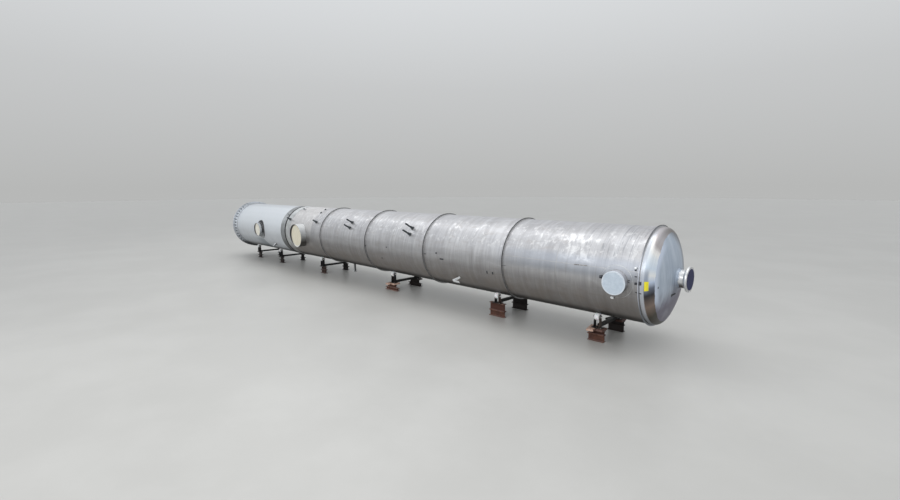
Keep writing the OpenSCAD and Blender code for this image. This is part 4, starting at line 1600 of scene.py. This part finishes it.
@dataclass
class TopHead:
    """Film on the crown, its torn flap, and the blank tag."""

    paints: Paints
    edge: float = 1.10
    limit: float = 1.165
    inner: float = 0.262
    steps: int = 512
    rows: int = 60
    proud: float = 0.0026
    under: float = 0.0004
    tag_x: tuple[float, float] = (24.70, 24.778)
    tag_turn: tuple[float, float] = (-8.4, 2.4)
    flap_place: tuple[float, float, float] = (0.0, -0.315, -0.405)
    flap_along: tuple[float, float, float] = (0.0, 0.96, 0.28)
    flap_length: float = 0.17
    flap_width: float = 0.075

    def edge_radius(self, t: Array) -> Array:
        """Radius of the film's ragged edge by angle.

        edge - 0.115 cos t, wider below, plus sines with whole wave numbers and a tongue where the
        film was pulled on the lower near side; never wider than limit, where the crown ends.

        Args:
            t: Angle round the axis, 0 at the near side and growing upwards.

        Returns:
            The radius.
        """
        waves = (0.006 * np.sin(5 * t + 0.7) + 0.005 * np.sin(11 * t + 2.1)
                 + 0.0035 * np.sin(23 * t + 0.4) + 0.002 * np.sin(47 * t + 1.3)
                 + 0.0012 * np.sin(101 * t))
        lean = -0.115 * np.cos(t) + 0.05 * np.maximum(0, -np.sin(t)) ** 2
        tongue = 0.012 * np.exp(-((t + 0.42) / 0.16) ** 2)
        limit = self.limit - 0.045 * np.sqrt(np.maximum(0, -np.cos(t)) * (np.sin(t) > -0.2))
        return np.minimum(self.edge + waves + lean + tongue, limit)

    def film(self) -> None:
        """The film: a ring-shaped sheet on the crown, about 2.6 mm proud.

        Outer face: r runs from inner to the edge radius and x = crown_x(r) + lift, where lift
        ripples near the edge; the under face follows the crown.
        """
        t = full_turn(self.steps)
        turn = (t + np.pi) % (2 * np.pi) - np.pi
        edge = self.edge_radius(turn)
        share = np.linspace(0, 1, self.rows) ** 0.8
        r = self.inner + (edge - self.inner)[:, None] * share[None, :]
        ripple = 0.0009 * np.sin(31 * t)[:, None] * share[None, :] ** 6
        folds = 0.0012 * np.sin(9 * np.sin(t)[:, None] * r * 2.0 + 0.6) * share[None, :] ** 2
        over = COLUMN.crown_x(r) + self.proud + ripple + folds
        under = COLUMN.crown_x(r) + self.under
        r_all = np.concatenate([r, r[:, ::-1]], axis=1)
        x_all = np.concatenate([over, under[:, ::-1]], axis=1)
        grid = np.stack([x_all, -np.cos(t)[:, None] * r_all, np.sin(t)[:, None] * r_all], axis=-1)
        build_piece("head_film", [Patch(grid, closed_u=True)], self.paints.film)

    def collar(self) -> None:
        """Film lapped up the vapour nozzle's neck.

        The profile follows a quarter circle from the crown at radius 0.29 to the neck and then
        runs 45 mm along it; the height of its last part is multiplied by 1 + 0.25 sin(7 t).
        """
        c = COLUMN
        turn = np.linspace(0, np.pi / 2, 8)
        neck = c.vapour_r + 0.0022
        bend = 0.034
        foot = float(c.crown_x(np.array(0.275))) + 0.0032
        r = np.concatenate([[0.292], neck + bend - bend * np.sin(turn), np.full(5, neck)])
        x = np.concatenate([[foot - 0.0012], foot + bend - bend * np.cos(turn),
                            foot + bend + np.linspace(0.006, 0.04, 5)])
        t = full_turn(240)[:, None]
        rag = 1 + 0.25 * np.sin(7 * t) + 0.12 * np.sin(19 * t + 1.0)
        past = x - foot - bend
        x = foot + bend + np.where(past > 0, past * rag, past + 0 * t)
        r_all = np.concatenate([r, r[::-1] - 0.0012])[None, :] + 0 * t
        x_all = np.concatenate([x, x[:, ::-1] - 0.0004], axis=1)
        grid = np.stack([x_all, -np.cos(t) * r_all, np.sin(t) * r_all], axis=-1)
        build_piece("film_collar", [Patch(grid, closed_u=True)], self.paints.film,
                    sharp=60)

    def flap(self) -> None:
        """A torn flap that curls off the film: a strip whose lift grows with the square of s."""
        s = np.linspace(0, 1, 16)[:, None]
        w = np.linspace(-0.5, 0.5, 9)[None, :]
        place, along = np.array(self.flap_place), np.array(self.flap_along)
        across = np.array([0.0, -along[2], along[1]])
        width = self.flap_width * (1 - 0.55 * s) * (1 + 0.12 * np.sin(9 * s))
        flat = (place + s[..., None] * self.flap_length * along
                + (w * width)[..., None] * across)
        r = np.hypot(flat[..., 1], flat[..., 2])
        lift = 0.004 + 0.03 * s ** 2
        top = flat.copy()
        top[..., 0] = COLUMN.crown_x(r) + lift
        low = top.copy()
        low[..., 0] -= 0.0012
        grid = np.concatenate([top, low[:, ::-1]], axis=1)
        build_piece("film_flap", [Patch(grid, caps=True)], self.paints.fitting)

    def label(self) -> None:
        """The blank tag, bent over the turn of the head, 1.4 mm thick.

        The strip runs over x and azimuth; its radius follows the knuckle's arc,
        r = radius - knuckle + sqrt(knuckle^2 - (x - tangent)^2).
        """
        x = np.linspace(*self.tag_x, 10)[:, None]
        a = np.radians(np.linspace(*self.tag_turn, 12))[None, :]
        c = COLUMN
        r = c.radius - c.knuckle + np.sqrt(c.knuckle ** 2 - (x - c.tangent) ** 2)
        rows = []
        for lift in (0.0022, 0.0008):
            rr = r + lift + 0 * a
            rows.append(np.stack([x + 0 * a, -rr * np.cos(a), rr * np.sin(a)], axis=-1))
        grid = np.concatenate([rows[0], rows[1][:, ::-1]], axis=1)
        build_piece("yellow_tag", [Patch(grid, caps=True)], self.paints.tag)

    def build(self) -> None:
        """Builds the film, its collar, the flap and the tag."""
        self.film()
        self.collar()
        self.flap()
        self.label()


# Manway cover


@dataclass
class ManwayCover:
    """Plastic sheet pulled over the manway's plate."""

    paints: Paints
    thick: float = 0.0015

    def sheet(self) -> None:
        """A cap: flat face, rolled edge and a narrow pleated hem.

        The profile runs out along the face, round the edge and back along the neck. Its radius is
        multiplied by 1 + a * sin(k t), with the pleats only in the hem.
        """
        c = COLUMN
        r, top = c.manway_r + 0.004, c.manway_reach + 0.0205
        turn = np.linspace(0, np.pi / 2, 7)
        face = np.stack([np.full(9, top + 0.002), np.linspace(0.001, r - 0.008, 9)], axis=1)
        edge = np.stack([top - 0.006 + 0.008 * np.cos(turn),
                         r - 0.008 + 0.008 * np.sin(turn)], axis=1)
        wall = np.stack([np.linspace(top - 0.01, top - 0.02, 4), np.full(4, r)], axis=1)
        outer = np.concatenate([face, edge, wall])
        inner = outer[::-1].copy()
        inner[:, 1] = np.maximum(inner[:, 1] - self.thick, 0.001)
        inner[:, 0] -= np.where(inner[:, 1] < r - 0.01, self.thick, 0.0)
        profile = np.concatenate([outer, inner])
        t = full_turn(240)
        depth = np.clip((top - 0.008 - profile[:, 0]) / 0.012, 0, 1)
        swell = (1 + 0.4 * np.sin(7 * t))[:, None]
        pleat = 1 + 0.0045 * np.sin(46 * t)[:, None] * depth[None] * swell
        sag = 0.0022 * np.sin(3 * t + 0.5)[:, None] * np.sin(profile[:, 1] / r * 5.5)[None]
        sag = sag * (depth[None] == 0)
        u = np.cos(t)[:, None] * profile[None, :, 1] * pleat
        v = np.sin(t)[:, None] * profile[None, :, 1] * pleat
        w = profile[None, :, 0] + np.abs(sag)
        grid = c.manway.at(u, v, w + 0 * u)
        build_piece("manway_sheet", [Patch(grid, closed_u=True)], self.paints.sheet,
                    sharp=60)

    def build(self) -> None:
        """Builds the sheet."""
        self.sheet()


# Small fittings


@dataclass(frozen=True)
class Cleat:
    """A small block: its place, its length, width and height, and the radius that it sits on."""

    place: Opening
    size: tuple[float, float, float]
    base: float = COLUMN.radius


@dataclass
class Cleats:
    """Small clips, studs and chips welded or left on the column."""

    paints: Paints
    dots: Stops = ((14.992, -1.0), (13.636, -4.1), (17.169, -2.3), (14.569, -23.4))
    dot: tuple[float, float, float] = (0.05, 0.04, 0.012)
    dark: tuple[Cleat, ...] = (
        Cleat(Opening(24.512, -0.9), (0.05, 0.055, 0.03)),
        Cleat(Opening(24.617, -0.2), (0.045, 0.085, 0.03)),
        Cleat(Opening(24.505, 6.6), (0.06, 0.025, 0.015)),
        Cleat(Opening(24.526, -10.9), (0.05, 0.02, 0.01)),
        Cleat(Opening(24.62, -11.6), (0.045, 0.02, 0.01)),
        Cleat(Opening(24.48, 13.4), (0.045, 0.03, 0.02)),
        Cleat(Opening(17.73, 1.2), (0.05, 0.045, 0.02)),
        Cleat(Opening(17.98, -7.1), (0.16, 0.04, 0.02)),
        Cleat(Opening(19.93, -16.5), (0.03, 0.09, 0.012)),
        Cleat(Opening(20.15, -16.6), (0.03, 0.08, 0.015)),
        Cleat(Opening(23.66, 1.4), (0.075, 0.08, 0.05), COLUMN.pad_top),
        Cleat(Opening(24.349, 1.4), (0.05, 0.018, 0.02), COLUMN.pad_top - 0.014),
        Cleat(Opening(24.329, 0.3), (0.015, 0.045, 0.02), COLUMN.pad_top - 0.014),
        Cleat(Opening(24.349, -0.8), (0.05, 0.018, 0.02), COLUMN.pad_top - 0.014))

    def block(self, place: Opening, base: float, size: tuple[float, float, float],
              round_off: float = 0.25) -> Patch:
        """A small block with rounded corners on the plate.

        Its section is a superellipse |cos|^p, |sin|^p carried outwards, drawn in at the top.

        Args:
            place: Where it sits.
            base: Radius that it sits on.
            size: Length along the column, width round it and height.
            round_off: Power p of the superellipse.

        Returns:
            The block's patch.
        """
        t = full_turn(24)
        cu, cv = superellipse(t, round_off)
        w = np.array([-0.004, 0.0, 0.7, 0.93, 1.0])
        shrink = np.array([1.0, 1.0, 1.0, 0.93, 0.8])
        u = size[0] / 2 * cu[None] * shrink[:, None]
        v = size[1] / 2 * cv[None] * shrink[:, None]
        high = base + np.where(w < 0, w, w * size[2])[:, None] + 0 * u
        return Patch(place.at(u, v, high), caps=True)

    def studs(self) -> None:
        """Dark cleats beside the rings and the manway."""
        patches = [self.block(cleat.place, cleat.base, cleat.size) for cleat in self.dark]
        patches += [self.block(Opening(x, azimuth), COLUMN.radius, self.dot)
                    for x, azimuth in self.dots]
        build_piece("cleats", patches, self.paints.fitting)

    def bright(self) -> None:
        """The bright lug under the manway and the forked clip on the fourth course."""
        lug = self.block(Opening(23.93, -21.4), COLUMN.radius, (0.09, 0.06, 0.05), 0.6)
        patches = [lug, self.block(Opening(24.478, 15.6), COLUMN.radius, (0.06, 0.05, 0.03), 0.6),
                   self.block(Opening(9.259, 57.1), COLUMN.radius, (0.05, 0.10, 0.05)),
                   self.block(Opening(9.205, 70.8), COLUMN.radius, (0.05, 0.10, 0.05))]
        place = Opening(18.52, -37.5)
        for du, dv, fall in ((0.24, 0.06, 0.155), (0.22, -0.07, 0.04)):
            s = np.linspace(0, 1, 12)[:, None]
            w = np.array([-0.5, 0.5, 0.5, -0.5])[None, :] * (0.10 - 0.02 * s)
            lift = np.array([0.0, 0.0, 0.012, 0.012])[None, :]
            u = -0.12 + s * du + 0 * w
            v = s * dv + w
            high = COLUMN.radius + 0.15 - fall * s + lift + 0 * w
            drop = COLUMN.radius - np.sqrt(COLUMN.radius ** 2 - v ** 2)
            patches.append(Patch(place.at(u, v, high - drop), caps=True))
        build_piece("bright_clips", patches, self.paints.pale)

    def build(self) -> None:
        """Builds all cleats."""
        self.studs()
        self.bright()


# Stands


@dataclass
class RolledBeams:
    """The stacked beams with root fillets, rounded toes and slightly uneven flanges."""

    paints: Paints
    width: float = 0.15
    web: float = 0.009
    flange: float = 0.014
    fillet: float = 0.011

    def section(self, height: float) -> Array:
        """Outline of a rolled beam, alike on both sides and both ways up.

        Corners at web and flange are quarter circles of radius fillet; the toes are rounded by
        2.5 mm. The quarter outline is mirrored twice.

        Args:
            height: Height of the beam.

        Returns:
            Outline points (m, 2): across and up, centred across, from the bottom at 0.
        """
        toe = 0.0025
        a = np.linspace(0, np.pi / 2, 6)
        half_w, half_h = self.width / 2, height / 2
        outer = np.stack([half_w - toe + toe * np.cos(a), half_h - toe + toe * np.sin(a)], axis=1)
        inner = np.stack([half_w - toe + toe * np.sin(a[::-1]),
                          half_h - self.flange + toe - toe * np.cos(a[::-1])], axis=1)[::-1]
        cx, cy = self.web / 2 + self.fillet, half_h - self.flange - self.fillet
        root = np.stack([cx - self.fillet * np.cos(a), cy + self.fillet * np.sin(a)], axis=1)
        quarter = np.concatenate([root, inner, outer])
        left = quarter[::-1] * [-1, 1]
        top = np.concatenate([quarter, left])
        bottom = top[::-1] * [1, -1]
        return np.concatenate([top, bottom]) + [0, half_h]

    def carried(self, x: float, y: float, z: float, length: float, height: float,
                seed: int) -> Patch:
        """The outline carried along X with small waves in the flanges.

        Args:
            x: Middle of the beam.
            y: Its centre line.
            z: Its underside.
            length: Its length.
            height: Its height.
            seed: Picks the waves.

        Returns:
            The beam's patch.
        """
        outline = self.section(height)
        s = np.linspace(-0.5, 0.5, 13)
        phase = seed * 1.7
        wave = 0.0012 * np.sin(7 * s + phase) * np.abs(outline[:, 0])[:, None] / (self.width / 2)
        inside = (outline[:, 1] > 0.002) & (outline[:, 1] < height - 0.002)
        across = outline[:, 0][:, None] * (1 + 0.008 * np.sin(11 * s + phase)) + 0 * wave
        up = outline[:, 1][:, None] + wave * inside[:, None]
        ends = 0.0015 * np.sin(outline[:, 0] * 60 + phase)[:, None] * (np.abs(s) > 0.49)
        grid = np.stack([x + s * length + ends, y + across, z + up + 0 * s], axis=-1)
        return Patch(np.swapaxes(grid, 0, 1), caps=True)

    def build(self) -> None:
        """Builds both layers of every stack."""
        st = STANDS
        for layer, node in ((0, "lower_beams"), (1, "upper_beams")):
            patches = []
            for i, x in enumerate(st.at):
                level, height = st.beam(i, layer)
                for side in Side:
                    patches.append(self.carried(
                        x + st.shifts[layer][i], side.value * st.y, level,
                        st.lengths[layer][i], height, i * 4 + layer * 2 + side.value))
            build_piece(f"rolled_{node}", patches, self.paints.rust, replaces=[node])


@dataclass(frozen=True)
class Board:
    """One timber under a cradle, measured from the stand's own place."""

    along: float
    aside: float
    length: float
    width: float
    turn: float


@dataclass
class Planks:
    """The worn timbers that lie across the beams of two stands."""

    paints: Paints
    boards: tuple[Board, ...] = (Board(-0.13, 0.03, 0.48, 0.2, 11.0),
                                 Board(0.112, 0.0, 0.3, 0.19, 0.0))
    round_off: float = 0.16

    def plank(self, i: int, side: Side, board: Board) -> tuple[Patch, Array]:
        """One plank: a rounded box section carried along its length.

        The section is a superellipse with power round_off; its edges are worn by sines along s,
        and its ends are drawn in by two small steps.

        Args:
            i: Index of the stand.
            side: Row of the stand.
            board: Its place and size.

        Returns:
            The plank's patch, and its grain map: u along it and v round the section.
        """
        st = STANDS
        t = full_turn(48) + 0.065
        ca, cz = superellipse(t, self.round_off)
        s = np.concatenate([[-1, -0.996, -0.985], np.linspace(-0.95, 0.95, 21), [0.985, 0.996, 1]])
        wear = 1 - 0.02 * np.abs(np.sin(9 * s[:, None] + 3 * t[None, :])) * (np.abs(ca * cz) > 0.8)
        draw = np.where(np.abs(s) > 0.99, 0.93, np.where(np.abs(s) > 0.98, 0.98, 1.0))[:, None]
        a = board.width / 2 * ca[None] * wear * draw
        top = np.where(cz[None] > 0, wear * draw, 1.0)
        z = st.top(i) - st.timber / 2 + st.timber / 2 * cz[None] * top
        b = board.length / 2 * s[:, None] + 0.004 * np.sin(a * 40)
        angle = -side.value * math.radians(board.turn)
        x = st.at[i] + board.along + a * math.cos(angle) - b * math.sin(angle)
        y = side.value * (st.y + board.aside) + a * math.sin(angle) + b * math.cos(angle)
        grid = np.stack([x, y, z], axis=-1)
        return Patch(grid, caps=True), np.stack([b + 3.1 * i + side.value, a + z * 0.7], axis=-1)

    def build(self) -> None:
        """Builds the planks and lays their grain map."""
        made = [self.plank(i, side, board) for i in STANDS.timbered for side in Side
                for board in self.boards]
        piece = build_piece("planks", [patch for patch, _ in made], self.paints.timber,
                            replaces=["timbers"])
        mesh = piece.data
        layer = mesh.uv_layers.new(name="grain")
        loops = np.zeros(len(mesh.loops), int)
        mesh.loops.foreach_get("vertex_index", loops)
        grain = np.concatenate([uv.reshape(-1, 2) for _, uv in made])[loops]
        layer.data.foreach_set("uv", grain.ravel())


@dataclass
class CradleHardware:
    """Nuts and washers on the shafts, foot bolts and weld beads of the cradles."""

    paints: Paints

    def nut(self, centre: Array, axis: Array, size: float, thick: float) -> Patch:
        """A chamfered hexagon nut as a turned profile with six lobes.

        Args:
            centre: Middle of its seat.
            axis: Unit direction away from the seat.
            size: Radius across its corners.
            thick: Its thickness.

        Returns:
            The nut's patch.
        """
        profile = np.array([[0, 0.0005], [0, size], [thick * 0.8, size], [thick, size * 0.84],
                            [thick, 0.0005]])
        return Patch(turned(profile, centre, axis, 24, hexagon(24)), closed_u=True)

    def shafts(self) -> None:
        """A washer and a collar nut at each end of every shaft."""
        st = STANDS
        patches = []
        for x in st.at:
            for side in Side:
                for way in (-1, 1):
                    axis = np.array([float(way), 0.0, 0.0])
                    seat = np.array([x + way * (st.cheek + st.cheek_t + 0.0004), side.value * st.y,
                                     st.roller_z])
                    ring = np.array([[0, st.shaft_r + 0.0004], [0, 0.044], [0.004, 0.044],
                                     [0.004, st.shaft_r + 0.0004]])
                    patches.append(Patch(turned(ring, seat, axis, 36), closed_u=True))
                    hexed = np.array([[0.0044, st.shaft_r + 0.0004], [0.0044, 0.040],
                                      [0.020, 0.040], [0.024, 0.034],
                                      [0.024, st.shaft_r + 0.0004]])
                    grid = turned(hexed, seat, axis, 36)
                    outer = turned(hexed, seat, axis, 36, hexagon(36))
                    grid[:, 1:4] = outer[:, 1:4]
                    patches.append(Patch(grid, closed_u=True))
        build_piece("shaft_nuts", patches, self.paints.shaft)

    def feet(self) -> None:
        """Four bolts on each cradle foot."""
        st = STANDS
        up = np.array([0.0, 0.0, 1.0])
        patches = []
        for i, x in enumerate(st.at):
            for side in Side:
                for dx in (-0.125, 0.125):
                    for dy in (-0.07, 0.07):
                        seat = np.array([x + dx, side.value * st.y + dy, st.top(i) + st.foot_t])
                        patches.append(self.nut(seat, up, 0.0165, 0.011))
        build_piece("foot_bolts", patches, self.paints.shaft)

    def beads(self) -> None:
        """Fillet beads at the feet of the side plates."""
        st = STANDS
        patches = []
        for i, x in enumerate(st.at):
            for side in Side:
                for edge in (st.cheek, st.cheek + st.cheek_t):
                    for way in (-1, 1):
                        y = side.value * st.y + np.linspace(-0.068, 0.068, 30)
                        path = np.stack([np.full(30, x + way * edge), y,
                                         np.full(30, st.top(i) + st.foot_t)], axis=1)
                        sign = way * (1 if edge > st.cheek else -1)
                        out = np.tile(np.array([sign * 0.7071, 0, 0.7071]), (30, 1))
                        patches.append(bead(path, out, 0.006, 0.006, False, 0.2))
        build_piece("cradle_welds", patches, self.paints.cradle)

    def build(self) -> None:
        """Builds nuts, bolts and beads."""
        self.shafts()
        self.feet()
        self.beads()


# Studio


@dataclass
class Studio:
    """Floor, sky, soft lamps and the camera."""

    eye: tuple[float, float, float] = (28.6595, -11.7597, 2.2623)
    ahead: tuple[float, float, float] = (-0.6921, 0.70822, -0.13937)
    right: tuple[float, float, float] = (0.71554, 0.69857, -0.00344)
    lens: float = 18.032
    floor_colour: Colour = (0.50, 0.495, 0.475)

    def camera(self) -> None:
        """The camera of the photograph, from its place and two of its directions."""
        data = bpy.data.cameras.new("camera")
        data.sensor_fit = "HORIZONTAL"
        data.sensor_width = 36.0
        data.lens = self.lens
        data.clip_end = 500.0
        camera = bpy.data.objects.new("camera", data)
        back = -Vector(self.ahead).normalized()
        right = Vector(self.right).normalized()
        up = back.cross(right)
        turn = Matrix((right, up, back)).transposed().to_4x4()
        camera.matrix_world = Matrix.Translation(Vector(self.eye)) @ turn
        bpy.context.scene.collection.objects.link(camera)
        bpy.context.scene.camera = camera
        bpy.context.scene.view_settings.view_transform = "Standard"

    def floor(self) -> None:
        """A wide round floor: rings of radius growing with the square of the row."""
        t = full_turn(96)[None, :]
        r = 160.0 * np.linspace(0.02, 1, 24)[:, None] ** 2
        level = STANDS.floor_z - 0.0005 + 0 * r * t
        grid = np.stack([12.0 + r * np.cos(t), r * np.sin(t), level], axis=-1)
        patch = Patch(grid)
        mesh = bpy.data.meshes.new("floor")
        faces = patch.faces(0) + [list(range(96))[::-1]]
        mesh.from_pydata(grid.reshape(-1, 3).tolist(), [], faces)
        g = Graph("floor")
        cloud = g.cloud(0.35, detail=5.0, rough=0.6)
        colour = g.mix(g.band(cloud, 0.35, 0.7), self.floor_colour, (0.54, 0.535, 0.515))
        mesh.materials.append(g.finish(colour, g.plus(0.30, g.times(cloud, 0.14)), 0.0))
        floor = bpy.data.objects.new("floor", mesh)
        bpy.context.scene.collection.objects.link(floor)
        floor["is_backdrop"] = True

    def sky(self) -> None:
        """A plain soft sky that grows brighter with height."""
        world = bpy.data.worlds.new("sky")
        world.use_nodes = True
        tree = world.node_tree
        tree.nodes.clear()
        place = tree.nodes.new("ShaderNodeTexCoord")
        split = tree.nodes.new("ShaderNodeSeparateXYZ")
        ramp = tree.nodes.new("ShaderNodeValToRGB")
        glow = tree.nodes.new("ShaderNodeBackground")
        out = tree.nodes.new("ShaderNodeOutputWorld")
        stops = ((0.0, (0.475, 0.48, 0.475)), (0.2, (0.57, 0.58, 0.585)),
                 (0.5, (0.80, 0.825, 0.85)), (1.0, (0.92, 0.935, 0.95)))
        fill_ramp(ramp.color_ramp, stops)
        tree.links.new(place.outputs["Generated"], split.inputs[0])
        tree.links.new(split.outputs[2], ramp.inputs[0])
        tree.links.new(ramp.outputs[0], glow.inputs[0])
        tree.links.new(glow.outputs[0], out.inputs[0])
        bpy.context.scene.world = world

    def lamp(self, name: str, at: tuple[float, float, float], to: tuple[float, float, float],
             size: tuple[float, float], power: float) -> None:
        """One large soft area lamp.

        Args:
            name: Its name.
            at: Its place.
            to: Where it points.
            size: Its two sides.
            power: Its power in watts.
        """
        data = bpy.data.lights.new(name, "AREA")
        data.shape = "RECTANGLE"
        data.size, data.size_y = size
        data.energy = power
        lamp = bpy.data.objects.new(name, data)
        look = Vector(to) - Vector(at)
        lamp.location = at
        lamp.rotation_euler = look.to_track_quat("-Z", "Y").to_euler()
        bpy.context.scene.collection.objects.link(lamp)

    def build(self) -> None:
        """Builds the whole studio."""
        self.camera()
        self.floor()
        self.sky()
        self.lamp("roof_lights", (12.0, 0.5, 12.0), (12.0, 0.0, 0.0), (40.0, 7.0), 900.0)
        self.lamp("side_window", (21.0, -16.0, 7.0), (16.0, 0.0, -0.5), (18.0, 5.0), 650.0)


def box_of() -> list[list[float]]:
    """The whole object's box as plain numbers."""
    return [[float(v) for v in corner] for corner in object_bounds()]


def main() -> list[list[float]]:
    """Builds everything in order.

    Returns:
        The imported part's box, taken before any piece is added.
    """
    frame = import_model()
    cad_box = box_of()
    Studio().build()
    paints = Paints()
    PackedNodes(frame["nodes"], paints).dress()
    for group in (Welds(paints), TopHead(paints), ManwayCover(paints), Cleats(paints),
                  RolledBeams(paints), Planks(paints), CradleHardware(paints)):
        group.build()
    LOG.info("all pieces built")
    return cad_box


if __name__ == "__main__":
    packed_box = main()
